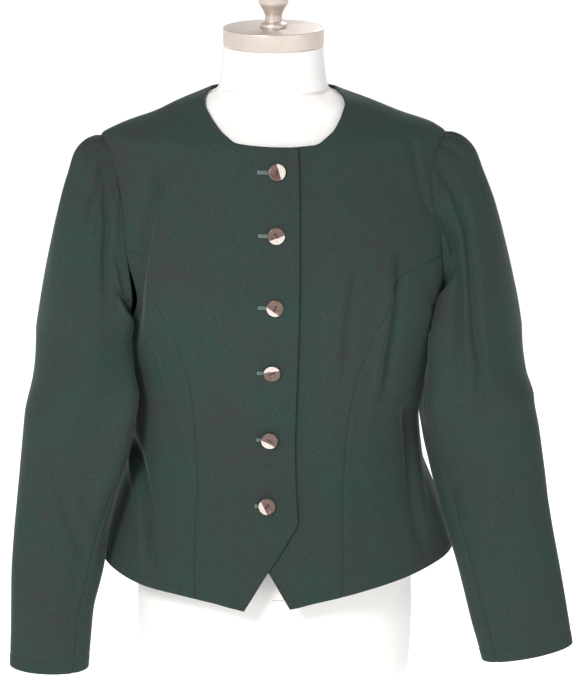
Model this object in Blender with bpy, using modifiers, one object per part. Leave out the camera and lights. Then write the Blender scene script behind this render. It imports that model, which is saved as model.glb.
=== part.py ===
"""A collarless wool hunting jacket on its limbless dress form and stand.

Metres, +Z up. The middle of the base's underside is the origin and the front faces -Y.
Left and right are the wearer's: the right side is at -X and the left side is at +X.
"""

import math
from collections import namedtuple

import bmesh
import bpy
import numpy as np
from mathutils import Vector
from mathutils.bvhtree import BVHTree

# Cloth
WALL = 0.0022
SEAM_GAP = 0.0003
LAP_GAP = 0.0015
LAP_FLAT, LAP_END = 0.046, 0.073
SHOULDER_SEAM = 90.0
BACK_MIDDLE = 180.0

# Heights of the jacket
NECK_POINT_Z = 1.3195
BACK_NECK_Z = 1.3140

# How many cells each panel has
ROWS_LOW, ROWS_HIGH = 12, 10
ROWS = ROWS_LOW + ROWS_HIGH
CORNER_ROW, NECK_ROW = 3, 14
FRONT_COLUMNS, SIDE_COLUMNS = 15, 5
BACK_SHOULDER_COLUMNS, BACK_NECK_COLUMNS = 4, 6
HEAD_ROWS, SLEEVE_ROWS = 8, 13
UNDER_SLEEVE_HALF = 3
FRONT_CROWDING, HEM_BLEND = 1.35, 0.25
DEGREE_LENGTH = 0.0024

# Dress form
FORM_REST_GAP, FORM_EASE, FORM_REST_TURN = 0.0009, 0.0045, 35.0
FORM_NECK_EASE, FORM_NECK_LOW_Z, FORM_NECK_HIGH_Z = 0.0026, 1.245, 1.290
FORM_STEPS, FORM_LIMIT_PLACES = 32, 360
FORM_LOW_Z, FORM_EDGE_Z, FORM_CHEST_Z, FORM_TOP_Z = 0.620, 0.640, 1.190, 1.3655
CAP_RADIUS, CAP_LOW_Z, CAP_TOP_Z, CAP_EDGE = 0.0550, 1.3658, 1.3850, 0.0012
CAP_STEPS, FINIAL_STEPS, BASE_STEPS, POLE_STEPS = 32, 20, 40, 20
POLE_RADIUS = 0.0125
SOLID_GAP = 0.0003

# Buttons
BUTTON_RADIUS, BUTTON_HEIGHT = 0.00925, 0.0030
BUTTON_STEPS = 18
BUTTON_GAP = 0.0003
SEAT_REACH = 0.02

Section = namedtuple("Section", "z right left front back square")
JACKET = (
    Section(0.745, 0.206, 0.213, 0.139, 0.130, 2.10),
    Section(0.790, 0.198, 0.206, 0.132, 0.123, 2.10),
    Section(0.850, 0.181, 0.187, 0.121, 0.112, 2.10),
    Section(0.900, 0.165, 0.168, 0.112, 0.103, 2.15),
    Section(0.945, 0.160, 0.162, 0.109, 0.098, 2.20),
    Section(1.000, 0.159, 0.173, 0.116, 0.103, 2.25),
    Section(1.055, 0.166, 0.184, 0.126, 0.110, 2.35),
    Section(1.105, 0.176, 0.193, 0.131, 0.115, 2.45),
    Section(1.150, 0.182, 0.197, 0.126, 0.118, 2.30),
    Section(1.200, 0.190, 0.198, 0.114, 0.113, 1.95),
    Section(1.240, 0.195, 0.198, 0.100, 0.104, 1.65),
    Section(1.265, 0.191, 0.194, 0.090, 0.096, 1.50),
    Section(1.278, 0.170, 0.179, 0.080, 0.088, 1.50),
    Section(1.291, 0.134, 0.142, 0.068, 0.082, 1.57),
    Section(1.3046, 0.105, 0.108, 0.058, 0.075, 1.70),
    Section(1.3195, 0.068, 0.067, 0.049, 0.068, 1.95),
    Section(1.328, 0.056, 0.056, 0.045, 0.064, 2.00),
)

# The form's own shape, smaller than the jacket but for the shoulders, where the jacket rests on it
FORM = (
    Section(0.620, 0.143, 0.143, 0.087, 0.094, 2.10),
    Section(0.626, 0.151, 0.151, 0.095, 0.102, 2.10),
    Section(0.640, 0.157, 0.157, 0.101, 0.109, 2.10),
    Section(0.700, 0.1595, 0.1595, 0.106, 0.115, 2.10),
    Section(0.760, 0.158, 0.158, 0.105, 0.113, 2.10),
    Section(0.820, 0.150, 0.150, 0.098, 0.102, 2.10),
    Section(0.880, 0.136, 0.136, 0.088, 0.088, 2.10),
    Section(0.945, 0.122, 0.122, 0.082, 0.078, 2.10),
    Section(1.000, 0.129, 0.129, 0.092, 0.086, 2.15),
    Section(1.055, 0.143, 0.143, 0.108, 0.098, 2.25),
    Section(1.105, 0.155, 0.155, 0.118, 0.105, 2.35),
    Section(1.150, 0.160, 0.162, 0.110, 0.108, 2.25),
    Section(1.200, 0.166, 0.170, 0.098, 0.103, 1.95),
    Section(1.240, 0.174, 0.177, 0.086, 0.094, 1.65),
    Section(1.262, 0.176, 0.178, 0.080, 0.087, 1.50),
    Section(1.278, 0.160, 0.168, 0.072, 0.080, 1.50),
    Section(1.291, 0.126, 0.134, 0.060, 0.073, 1.60),
    Section(1.3046, 0.097, 0.100, 0.052, 0.067, 1.75),
    Section(1.318, 0.0622, 0.0612, 0.0495, 0.061, 1.95),
    Section(1.332, 0.0575, 0.0575, 0.0510, 0.0565, 2.00),
    Section(1.350, 0.0555, 0.0555, 0.0535, 0.0555, 2.00),
    Section(1.3655, 0.0545, 0.0545, 0.0545, 0.0545, 2.00),
)
FORM_LOW_RINGS, FORM_HIGH_RINGS = 14, 18
# The angle where the jacket's neckline lies at each of its heights, and how softly the form
# fills out inside it
FORM_NECK_TURNS = (0.0, 10.0, 15.0, 26.0, 41.0, 54.0)
FORM_NECK_SOFT = 28.0

# Height of the hem on each side, by the angle from the front's middle
Hem = namedtuple("Hem", "turn right left")
HEM = (
    Hem(0, 0.7565, 0.7575), Hem(5, 0.7565, 0.7580), Hem(11, 0.7580, 0.7625), Hem(20, 0.7635, 0.7685),
    Hem(33, 0.7685, 0.7757), Hem(45, 0.7705, 0.7810), Hem(64, 0.7765, 0.7870), Hem(90, 0.7820, 0.7890),
    Hem(180, 0.7850, 0.7850),
)

# The neckline's front half, from the front's middle to the shoulder seam, as seen from the front
Neck = namedtuple("Neck", "right left z")
NECKLINE = (
    Neck(0.0000, 0.0000, 1.2688),
    Neck(0.0366, 0.0448, 1.2719),
    Neck(0.0506, 0.0587, 1.2790),
    Neck(0.0627, 0.0696, 1.2898),
    Neck(0.0727, 0.0765, 1.3030),
    Neck(0.0750, 0.0770, 1.3110),
)

# Each front's free edge from its point at the hem to its top, as seen from the front
Edge = namedtuple("Edge", "x z")
RIGHT_EDGE = (
    Edge(-0.0330, 0.7562), Edge(-0.0063, 0.7997), Edge(0.0268, 0.8537),
    Edge(0.0266, 1.0557), Edge(0.0265, 1.2692),
)
LEFT_EDGE = (
    Edge(0.0180, 0.7578), Edge(-0.0063, 0.7997), Edge(-0.0380, 0.8500),
    Edge(-0.0380, 1.0557), Edge(-0.0380, 1.2715),
)

# Front princess seams from the hem to the armhole
RIGHT_PRINCESS = (
    Edge(-0.0870, 0.7740), Edge(-0.0862, 0.8600), Edge(-0.0862, 0.9340), Edge(-0.0925, 1.0080),
    Edge(-0.1120, 1.0720), Edge(-0.1305, 1.1080), Edge(-0.1400, 1.1450),
)
LEFT_PRINCESS = (
    Edge(0.0754, 0.7740), Edge(0.0765, 0.8560), Edge(0.0796, 0.9340), Edge(0.0899, 1.0080),
    Edge(0.1107, 1.0680), Edge(0.1260, 1.1000), Edge(0.1430, 1.1340),
)
# Back princess seams, as distances from the back's middle
BACK_PRINCESS = (
    Edge(0.0820, 0.7850), Edge(0.0720, 0.8600), Edge(0.0640, 0.9400), Edge(0.0760, 1.0200),
    Edge(0.1020, 1.0900), Edge(0.1330, 1.1350),
)

# The armhole: how far its edge stands from the side line, in degrees round the body,
# over the sine of the place on it
Armhole = namedtuple("Armhole", "top_z low_z front_junction back_junction front back")
ARMHOLE_PLACES = (0, 45, 90, 135, 180)
ARMHOLES = {
    "right": Armhole(1.2650, 1.0560, 94.0, 262.0, (37, 31, 31, 42, 46), (26, 29, 31, 32, 30)),
    "left": Armhole(1.2700, 1.0580, 101.0, 262.0, (27, 32, 25, 24, 25), (24, 27, 28, 28, 27)),
}
SIGN = {"right": -1, "left": 1}

# Soft troughs of the body, each seen square on: top, middle and low place, half width and depth
Fold = namedtuple("Fold", "face x_top z_top x_mid z_mid x_low z_low width depth")
BODY_FOLDS = (
    Fold("front", -0.115, 1.262, -0.130, 1.170, -0.152, 1.040, 0.0090, 0.0090),
    Fold("front", 0.134, 1.175, 0.133, 1.110, 0.122, 1.000, 0.0100, 0.0055),
    Fold("front", 0.087, 1.150, 0.079, 1.085, 0.074, 1.010, 0.0100, 0.0030),
    Fold("front", -0.158, 0.930, -0.147, 0.880, -0.138, 0.790, 0.0110, 0.0055),
    Fold("front", 0.148, 0.975, 0.155, 0.885, 0.171, 0.800, 0.0110, 0.0055),
    Fold("front", -0.126, 1.000, -0.117, 0.950, -0.103, 0.890, 0.0110, 0.0035),
    Fold("front", 0.150, 1.268, 0.160, 1.225, 0.171, 1.175, 0.0080, 0.0035),
    Fold("back", -0.118, 1.215, -0.112, 1.120, -0.090, 1.000, 0.0120, 0.0055),
    Fold("back", 0.121, 1.205, 0.118, 1.110, 0.098, 0.990, 0.0120, 0.0050),
    Fold("back", -0.040, 1.000, -0.034, 0.930, -0.044, 0.830, 0.0120, 0.0035),
    Fold("back", 0.046, 0.990, 0.038, 0.920, 0.050, 0.815, 0.0120, 0.0040),
)

# The sleeves below the armpit: the middle, half width and half depth of each ring, how far it leans,
# and how far its front is turned in towards the body
Ring = namedtuple("Ring", "x y z width depth lean inward")
SLEEVES = {
    "right": (
        Ring(0.2165, -0.0290, 1.050, 0.0460, 0.0650, 0.0, 32),
        Ring(0.2135, -0.0370, 1.005, 0.0550, 0.0620, 0.5, 25),
        Ring(0.2187, -0.0400, 0.955, 0.0620, 0.0530, 1.0, 20),
        Ring(0.2270, -0.0450, 0.900, 0.0590, 0.0470, 1.5, 15),
        Ring(0.2392, -0.0530, 0.830, 0.0545, 0.0390, 2.0, 10),
        Ring(0.2460, -0.0580, 0.777, 0.0520, 0.0350, 2.5, 7),
        Ring(0.2530, -0.0620, 0.730, 0.0470, 0.0320, 3.0, 5),
        Ring(0.2585, -0.0620, 0.6585, 0.0450, 0.0270, 3.2, 3),
    ),
    "left": (
        Ring(0.2315, -0.0220, 1.050, 0.0440, 0.0650, 0.0, 28),
        Ring(0.2285, -0.0260, 1.000, 0.0555, 0.0580, 3.0, 20),
        Ring(0.2275, -0.0300, 0.970, 0.0655, 0.0530, 5.0, 16),
        Ring(0.2320, -0.0330, 0.940, 0.0660, 0.0480, 6.5, 12),
        Ring(0.2395, -0.0370, 0.900, 0.0645, 0.0430, 8.0, 10),
        Ring(0.2510, -0.0460, 0.845, 0.0605, 0.0370, 10.0, 7),
        Ring(0.2650, -0.0540, 0.7875, 0.0570, 0.0320, 11.5, 5),
        Ring(0.2778, -0.0580, 0.730, 0.0555, 0.0280, 12.5, 4),
        Ring(0.2904, -0.0600, 0.6755, 0.0530, 0.0235, 12.5, 3),
    ),
}
# The way each sleeve's head leaves the armhole and turns down, at its top and at the armpit
HEAD_OUT_TOP, HEAD_OUT_LOW = 0.160, 0.014
HEAD_RISE_TOP = 0.012
HEAD_DOWN_TOP, HEAD_DOWN_LOW = 0.250, 0.012
HEAD_TUCK, HEAD_SHARE = 0.03, 0.30

# Pleats and troughs of the sleeves: places round the ring and down the sleeve,
# half width in degrees and depth. Where the depth is negative the cloth swells out
Pleat = namedtuple("Pleat", "turn_top turn_low down_top down_low width depth")
PLEATS = {
    "left": (
        Pleat(46, 92, 0.00, 0.68, 11, 0.0060),
        Pleat(82, 102, 0.00, 0.46, 10, 0.0050),
        Pleat(-38, -80, 0.00, 0.60, 14, 0.0050),
        Pleat(-80, -125, 0.04, 0.52, 14, 0.0040),
        Pleat(5, -5, 0.06, 0.46, 42, 0.0036),
        Pleat(116, 124, 0.10, 0.62, 18, -0.0125),
    ),
    "right": (
        Pleat(62, 88, 0.00, 0.30, 12, 0.0045),
        Pleat(20, 34, 0.00, 0.20, 11, 0.0040),
        Pleat(126, 112, 0.56, 0.98, 16, 0.0030),
        Pleat(-34, -70, 0.00, 0.55, 14, 0.0050),
        Pleat(-84, -120, 0.05, 0.50, 14, 0.0040),
        Pleat(5, -5, 0.06, 0.46, 42, 0.0034),
        Pleat(118, 126, 0.08, 0.84, 18, -0.0090),
        Pleat(124, 132, 0.36, 0.82, 20, -0.0075),
    ),
}

Place = namedtuple("Place", "x z")
BUTTONS = (
    Place(0.0042, 1.2447), Place(0.0037, 1.1805), Place(0.0022, 1.1047),
    Place(-0.0012, 1.0293), Place(-0.0043, 0.9485), Place(-0.0070, 0.8733),
)

# Turned profiles, from the top down, as radius and height
Turned = namedtuple("Turned", "radius z")
FINIAL = (
    Turned(0.0000, 1.4380), Turned(0.0065, 1.4368), Turned(0.0122, 1.4325), Turned(0.0160, 1.4255),
    Turned(0.0170, 1.4185), Turned(0.0160, 1.4115), Turned(0.0115, 1.4040), Turned(0.0092, 1.3970),
    Turned(0.0092, 1.3925), Turned(0.0140, 1.3890), Turned(0.0145, 1.3875), Turned(0.0145, 1.3853),
    Turned(0.0000, 1.3853),
)
BASE = (
    Turned(0.0000, 0.0300), Turned(0.0200, 0.0300), Turned(0.0230, 0.0270), Turned(0.0300, 0.0215),
    Turned(0.1700, 0.0130), Turned(0.1785, 0.0100), Turned(0.1800, 0.0080), Turned(0.1800, 0.0000),
    Turned(0.0000, 0.0000),
)

Finish = namedtuple("Finish", "colour roughness metallic")
WOOL = Finish((0.043, 0.060, 0.054), 0.92, 0.0)
HORN = Finish((0.36, 0.25, 0.21), 0.30, 0.0)
JERSEY = Finish((0.86, 0.84, 0.82), 0.90, 0.0)
METAL = Finish((0.72, 0.64, 0.58), 0.35, 0.9)


def clear_scene():
    for obj in list(bpy.data.objects):
        bpy.data.objects.remove(obj, do_unlink=True)


def column(rows, name):
    return np.array([getattr(row, name) for row in rows], float)


def curve_through(knots, values, at):
    """Values of a smooth curve through every knot that doesn't swing past them."""
    knots, values = np.asarray(knots, float), np.asarray(values, float)
    steps = np.diff(knots)
    rise = np.diff(values) / steps
    product = rise[:-1] * rise[1:]
    total = np.where(product > 0, rise[:-1] + rise[1:], 1.0)
    slope = np.concatenate(([rise[0]], np.where(product > 0, 2 * product / total, 0.0), [rise[-1]]))
    at = np.clip(at, knots[0], knots[-1])
    i = np.clip(np.searchsorted(knots, at, "right") - 1, 0, len(steps) - 1)
    t = (at - knots[i]) / steps[i]
    start = values[i] * (1 + 2 * t) * (1 - t) ** 2 + slope[i] * steps[i] * t * (1 - t) ** 2
    end = values[i + 1] * t * t * (3 - 2 * t) - slope[i + 1] * steps[i] * t * t * (1 - t)
    return start + end


def path_places(points, count):
    """Points evenly spaced along a smooth path through the points given."""
    points = np.asarray(points, float)
    run = np.concatenate(([0.0], np.cumsum(np.linalg.norm(np.diff(points, axis=0), axis=1))))
    at = np.linspace(0, run[-1], count + 1)
    return np.stack([curve_through(run, points[:, i], at) for i in range(points.shape[1])], axis=-1)


def ease(t):
    t = np.clip(t, 0.0, 1.0)
    return t * t * (3 - 2 * t)


def ring_sizes(sections, turn, z):
    """Half width, half depth and squareness of the ring at a height, on the angle's side."""
    heights = column(sections, "z")
    size = {name: curve_through(heights, column(sections, name), z) for name in Section._fields[1:]}
    width = np.where(np.sin(np.radians(turn)) > 0, size["left"], size["right"])
    depth = np.where(np.cos(np.radians(turn)) > 0, size["front"], size["back"])
    return width, depth, size["square"]


def ring_point(sections, turn, z):
    """The point at an angle from the front's middle, towards +X, on the ring at a height."""
    width, depth, square = ring_sizes(sections, turn, z)
    across, along = np.sin(np.radians(turn)), np.cos(np.radians(turn))
    reach = (np.abs(across) ** square + np.abs(along) ** square) ** (-1 / square)
    return np.stack([width * across * reach, -depth * along * reach, z + 0 * reach], axis=-1)


def turn_at(x, z):
    """The angle on the jacket's front where a place at x and z is seen from the front."""
    width, _, square = ring_sizes(JACKET, np.where(np.asarray(x) > 0, 45.0, -45.0), z)
    part = np.clip(np.abs(x) / width, 0.0, 1.0)
    return np.sign(x) * np.degrees(np.arctan2(part, (1 - part**square) ** (1 / square)))


def fold_depth(x, y, z):
    """How far the body's soft troughs press in at a point of its surface."""
    depth = np.zeros_like(x)
    for fold in BODY_FOLDS:
        facing = np.where((y < 0) == (fold.face == "front"), 1.0, 0.0)
        heights = (fold.z_low, fold.z_mid, fold.z_top)
        middle = curve_through(heights, (fold.x_low, fold.x_mid, fold.x_top), z)
        part = np.clip((z - fold.z_low) / (fold.z_top - fold.z_low), 0.0, 1.0)
        swell = np.sin(math.pi * part) ** 0.7
        depth += facing * fold.depth * swell * np.exp(-(((x - middle) / fold.width) ** 2))
    return depth


def bare_point(turn, z):
    return ring_point(JACKET, turn, z)


def plain_point(turn, z, layer):
    """The jacket's outer face before its troughs, with the lapped fronts parted by half a wall each."""
    point = ring_point(JACKET, turn, z)
    lift = layer * (WALL + LAP_GAP) / 2 * ease((LAP_END - np.abs(point[..., 0])) / (LAP_END - LAP_FLAT))
    return point + normal_of(bare_point, turn, z) * lift[..., None]


def normal_of(surface, turn, z):
    """The outward direction of a surface of angle and height."""
    small_turn, small_z = 0.4, 0.0008
    round_it = surface(turn + small_turn, z) - surface(turn - small_turn, z)
    up_it = surface(turn, z + small_z) - surface(turn, z - small_z)
    normal = np.cross(round_it, up_it)
    return normal / np.linalg.norm(normal, axis=-1, keepdims=True)


def cloth_point(turn, z, layer=0):
    """A point of the jacket's outer face, troughs and all."""
    point = plain_point(turn, z, layer)
    normal = normal_of(lambda t, h: plain_point(t, h, layer), turn, z)
    depth = fold_depth(point[..., 0], point[..., 1], z)
    return point - normal * depth[..., None]


def grid_between(start, end, shares):
    """Rows of angle and height from one edge's places to the other's."""
    start, end = np.asarray(start, float)[:, None], np.asarray(end, float)[:, None]
    shares = np.asarray(shares, float)[None, :, None]
    return start * (1 - shares) + end * shares


def patch_between(low, high, start, end):
    """A grid of angle and height that meets a path on each of its four sides."""
    low, high, start, end = (np.asarray(side, float) for side in (low, high, start, end))
    up = np.linspace(0, 1, len(start))[:, None, None]
    over = np.linspace(0, 1, len(low))[None, :, None]
    low_corners = (1 - over) * low[0] + over * low[-1]
    high_corners = (1 - over) * high[0] + over * high[-1]
    across = (1 - over) * start[:, None] + over * end[:, None]
    rising = (1 - up) * low[None] + up * high[None]
    return across + rising - (1 - up) * low_corners - up * high_corners


def drawn_in(points, sides):
    """The grid with the named sides moved in by half of a seam's gap."""
    points = points.copy()
    views = {
        "start": (points[:, 0], points[:, 1]), "end": (points[:, -1], points[:, -2]),
        "low": (points[0], points[1]), "high": (points[-1], points[-2]),
    }
    for side in sides:
        edge, beside = views[side]
        along = np.gradient(edge, axis=0)
        along /= np.linalg.norm(along, axis=-1, keepdims=True)
        inward = beside - edge
        inward -= along * np.sum(inward * along, axis=-1, keepdims=True)
        edge += inward / np.linalg.norm(inward, axis=-1, keepdims=True) * SEAM_GAP / 2
    return points


def wall_mesh(name, outer, inner):
    """A closed wall between two grids of points, the outer one's columns running the way that faces it out."""
    rows, columns = outer.shape[:2]
    first_inner = rows * columns

    def at(i, j, back=0):
        return back * first_inner + i * columns + j

    faces = []
    for i in range(rows - 1):
        for j in range(columns - 1):
            faces.append((at(i, j), at(i, j + 1), at(i + 1, j + 1), at(i + 1, j)))
            faces.append((at(i, j, 1), at(i + 1, j, 1), at(i + 1, j + 1, 1), at(i, j + 1, 1)))
    top, end = rows - 1, columns - 1
    for i in range(rows - 1):
        faces.append((at(i, 0), at(i + 1, 0), at(i + 1, 0, 1), at(i, 0, 1)))
        faces.append((at(i, end), at(i, end, 1), at(i + 1, end, 1), at(i + 1, end)))
    for j in range(columns - 1):
        faces.append((at(0, j), at(0, j, 1), at(0, j + 1, 1), at(0, j + 1)))
        faces.append((at(top, j), at(top, j + 1), at(top, j + 1, 1), at(top, j, 1)))
    mesh = bpy.data.meshes.new(name)
    mesh.from_pydata(np.concatenate([outer.reshape(-1, 3), inner.reshape(-1, 3)]).tolist(), [], faces)
    return mesh


def make_material(name, finish):
    material = bpy.data.materials.new(name)
    material.use_nodes = True
    shader = material.node_tree.nodes["Principled BSDF"]
    shader.inputs["Base Color"].default_value = (*finish.colour, 1.0)
    shader.inputs["Roughness"].default_value = finish.roughness
    shader.inputs["Metallic"].default_value = finish.metallic
    return material


def add_object(collection, name, mesh, finish):
    mesh.materials.append(make_material(name, finish))
    mesh.shade_smooth()
    mesh.set_sharp_from_angle(angle=math.radians(40))
    obj = bpy.data.objects.new(name, mesh)
    collection.objects.link(obj)
    return obj


def add_panel(collection, name, grid, sides, layer=0):
    """One cut piece of the body, from its grid of angle and height."""
    turn, z = grid[..., 0], grid[..., 1]
    outer = cloth_point(turn, z, layer)
    normal = normal_of(lambda t, h: cloth_point(t, h, layer), turn, z)
    outer, inner = drawn_in(outer, sides), drawn_in(outer - normal * WALL, sides)
    return add_object(collection, name, wall_mesh(name, outer, inner), WOOL)


def hem_z(turn):
    right, left = (curve_through(column(HEM, "turn"), column(HEM, side), np.abs(turn)) for side in SIGN)
    return np.where(np.asarray(turn) < 0, right, left)


def on_front(points):
    """Angle and height of places given as seen from the front."""
    points = np.asarray(points, float)
    return np.stack([turn_at(points[:, 0], points[:, 1]), points[:, 1]], axis=-1)


def armhole_place(side, place):
    """Angle and height on the armhole: 0 at its top, 90 in front, 180 at the armpit, 270 behind."""
    hole = ARMHOLES[side]
    place = np.asarray(place, float)
    z = (hole.top_z + hole.low_z) / 2 + (hole.top_z - hole.low_z) / 2 * np.cos(np.radians(place))
    in_front = curve_through(ARMHOLE_PLACES, hole.front, place)
    behind = curve_through(ARMHOLE_PLACES, hole.back, 360 - place)
    spread = np.where(place <= 180, in_front, behind) * np.sin(np.radians(place))
    return np.stack([SIGN[side] * (SHOULDER_SEAM - spread), z], axis=-1)


def armhole_places(side):
    """The places on the armhole where the panels' rows and columns meet it, all the way round."""
    hole = ARMHOLES[side]
    return np.concatenate([
        np.linspace(0, hole.front_junction, ROWS_HIGH + 1)[:-1],
        np.linspace(hole.front_junction, 180, SIDE_COLUMNS + 1)[:-1],
        np.linspace(180, hole.back_junction, SIDE_COLUMNS + 1)[:-1],
        np.linspace(hole.back_junction, 360, ROWS_HIGH + 1),
    ])


def front_seam(side):
    """The front princess seam from the hem to the armhole, as angle and height."""
    points = {"right": RIGHT_PRINCESS, "left": LEFT_PRINCESS}[side]
    seam = on_front([(point.x, point.z) for point in points])
    junction = armhole_place(side, ARMHOLES[side].front_junction)
    seam[0, 1] = hem_z(seam[0, 0])
    return scaled_path(np.vstack([seam, junction]), ROWS_LOW)


def back_seam(side):
    """The back princess seam from the hem to the armhole, as angle and height."""
    x, z = column(BACK_PRINCESS, "x"), column(BACK_PRINCESS, "z")
    seam = np.stack([SIGN[side] * (BACK_MIDDLE - turn_at(SIGN[side] * x, z) * SIGN[side]), z], axis=-1)
    seam[0, 1] = hem_z(seam[0, 0])
    junction = armhole_place(side, ARMHOLES[side].back_junction)
    return scaled_path(np.vstack([seam, junction]), ROWS_LOW)


def scaled_path(points, count):
    """Even places on a path of angle and height, measured as lengths on the body."""
    scale = np.array([DEGREE_LENGTH, 1.0])
    return path_places(np.asarray(points) * scale, count) / scale


def front_neck(side, first_x):
    """The front neckline from a front's corner to the shoulder seam, as angle and height."""
    sign = SIGN[side]
    places = [(sign * getattr(row, side), row.z) for row in NECKLINE]
    places = [place for place in places if sign * place[0] > 0.5 * abs(first_x)]
    seam = on_front([(first_x, NECKLINE[0].z), *places])
    seam = np.vstack([seam, (sign * SHOULDER_SEAM, NECK_POINT_Z)])
    return scaled_path(seam, ROWS - NECK_ROW)


def front_edge(side):
    """The free edge of a front and its neckline: one place for each row."""
    points = {"right": RIGHT_EDGE, "left": LEFT_EDGE}[side]
    edge = on_front(points)
    low = scaled_path(edge[:3], CORNER_ROW)
    high = scaled_path(edge[2:], NECK_ROW - CORNER_ROW)
    neck = front_neck(side, points[-1].x)
    neck[0] = high[-1]
    return np.vstack([low[:-1], high[:-1], neck])


def side_seam(side):
    """The side seam from the hem to the armpit."""
    turn = SIGN[side] * SHOULDER_SEAM
    low_z, high_z = float(hem_z(turn)), ARMHOLES[side].low_z
    return np.stack([np.full(ROWS_LOW + 1, turn), np.linspace(low_z, high_z, ROWS_LOW + 1)], axis=-1)


def hem_between(first, last, count):
    turn = np.linspace(first, last, count + 1)
    return np.stack([turn, hem_z(turn)], axis=-1)


def add_front(collection, side):
    """A front: its edge and neckline on one side, its princess seam and armhole on the other."""
    hole = ARMHOLES[side]
    arc = armhole_place(side, np.linspace(hole.front_junction, 0, ROWS_HIGH + 1))
    outer_edge = np.vstack([front_seam(side)[:-1], arc])
    shares = 1 - (1 - np.linspace(0, 1, FRONT_COLUMNS + 1)) ** FRONT_CROWDING
    grid = grid_between(front_edge(side), outer_edge, shares)
    fade = np.linspace(1, 0, ROWS_LOW + 1)[:, None] ** 3
    hem = grid[0, :, 1] + (hem_z(grid[0, :, 0]) - grid[0, :, 1]) * ease(shares / HEM_BLEND)
    grid[: ROWS_LOW + 1, :, 1] += fade * (hem - grid[0, :, 1])[None]
    if side == "right":
        add_panel(collection, "front_right", grid[:, ::-1], ("start", "high"), layer=1)
    else:
        add_panel(collection, "front_left", grid, ("end", "high"), layer=-1)


def add_side_front(collection, side):
    hole = ARMHOLES[side]
    seam, outside = front_seam(side), side_seam(side)
    arc = armhole_place(side, np.linspace(hole.front_junction, 180, SIDE_COLUMNS + 1))
    hem = hem_between(seam[0, 0], outside[0, 0], SIDE_COLUMNS)
    grid = patch_between(hem, arc, seam, outside)
    grid = grid if side == "left" else grid[:, ::-1]
    add_panel(collection, f"side_front_{side}", grid, ("start", "end", "high"))


def add_side_back(collection, side):
    hole = ARMHOLES[side]
    seam, outside = back_seam(side), side_seam(side)
    arc = armhole_place(side, np.linspace(180, hole.back_junction, SIDE_COLUMNS + 1))
    hem = hem_between(outside[0, 0], seam[0, 0], SIDE_COLUMNS)
    grid = patch_between(hem, arc, outside, seam)
    grid = grid if side == "left" else grid[:, ::-1]
    add_panel(collection, f"side_back_{side}", grid, ("start", "end", "high"))


def back_top():
    """The back's top edge: left shoulder seam, neckline and right shoulder seam, as angle and height."""
    left_z = np.linspace(ARMHOLES["left"].top_z, NECK_POINT_Z, BACK_SHOULDER_COLUMNS + 1)
    right_z = np.linspace(NECK_POINT_Z, ARMHOLES["right"].top_z, BACK_SHOULDER_COLUMNS + 1)
    left = [(SHOULDER_SEAM, z) for z in left_z]
    right = [(360 - SHOULDER_SEAM, z) for z in right_z]
    turn = np.linspace(SHOULDER_SEAM, 360 - SHOULDER_SEAM, BACK_NECK_COLUMNS + 1)[1:-1]
    dip = np.sin(np.radians(turn - SHOULDER_SEAM)) ** 0.5
    neck = [(t, NECK_POINT_Z - (NECK_POINT_Z - BACK_NECK_Z) * d) for t, d in zip(turn, dip)]
    return np.array([*left, *neck, *right])


def add_back(collection):
    """The back in one piece, from the left princess seam and armhole to the right ones."""
    edges = {}
    for side in SIGN:
        hole = ARMHOLES[side]
        arc = armhole_place(side, np.linspace(hole.back_junction, 360, ROWS_HIGH + 1))
        edges[side] = np.vstack([back_seam(side)[:-1], arc])
    right = edges["right"] + np.array([360.0, 0.0])
    top = back_top()
    hem = hem_between(edges["left"][0, 0], right[0, 0], len(top) - 1)
    hem[:, 1] = hem_z(np.where(hem[:, 0] > BACK_MIDDLE, hem[:, 0] - 360, hem[:, 0]))
    grid = patch_between(hem, top, edges["left"], right)
    turn = np.where(grid[..., 0] > 180, grid[..., 0] - 360, grid[..., 0])
    add_panel(collection, "back", np.stack([turn, grid[..., 1]], axis=-1), ("start", "end"))


def sleeve_ring(side, place, down):
    """A point of a sleeve below the armpit; down runs from 0 at the armpit to 1 at the cuff."""
    rows = SLEEVES[side]
    share = (rows[0].z - column(rows, "z")) / (rows[0].z - rows[-1].z)
    size = {name: curve_through(share, column(rows, name), down) for name in Ring._fields}
    lean, inward = np.radians(size["lean"]), np.radians(size["inward"])
    out, ahead = size["width"] * np.cos(np.radians(place)), size["depth"] * np.sin(np.radians(place))
    x = size["x"] + out * np.cos(lean) * np.cos(inward) - ahead * np.sin(inward)
    y = size["y"] - out * np.cos(lean) * np.sin(inward) - ahead * np.cos(inward)
    return np.stack([SIGN[side] * x, y, size["z"] + out * np.sin(lean)], axis=-1)


def sleeve_head(side, place, down):
    """A point of a sleeve's head; down runs from 0 at the armhole to 1 at the armpit."""
    spot = armhole_place(side, place % 360)
    start = ring_point(JACKET, spot[..., 0], spot[..., 1])
    end = sleeve_ring(side, place, 0 * place)
    top = (1 + np.cos(np.radians(place))) / 2
    outward = HEAD_OUT_LOW + (HEAD_OUT_TOP - HEAD_OUT_LOW) * top
    below = HEAD_DOWN_LOW + (HEAD_DOWN_TOP - HEAD_DOWN_LOW) * top
    leave = np.stack([SIGN[side] * outward, 0 * top, HEAD_RISE_TOP * top], axis=-1)
    arrive = np.stack([SIGN[side] * HEAD_TUCK * top, 0 * top, -below], axis=-1)
    t = down[..., None]
    from_start = start * (1 + 2 * t) * (1 - t) ** 2 + leave * t * (1 - t) ** 2
    return from_start + end * t * t * (3 - 2 * t) - arrive * t * t * (1 - t)


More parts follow.
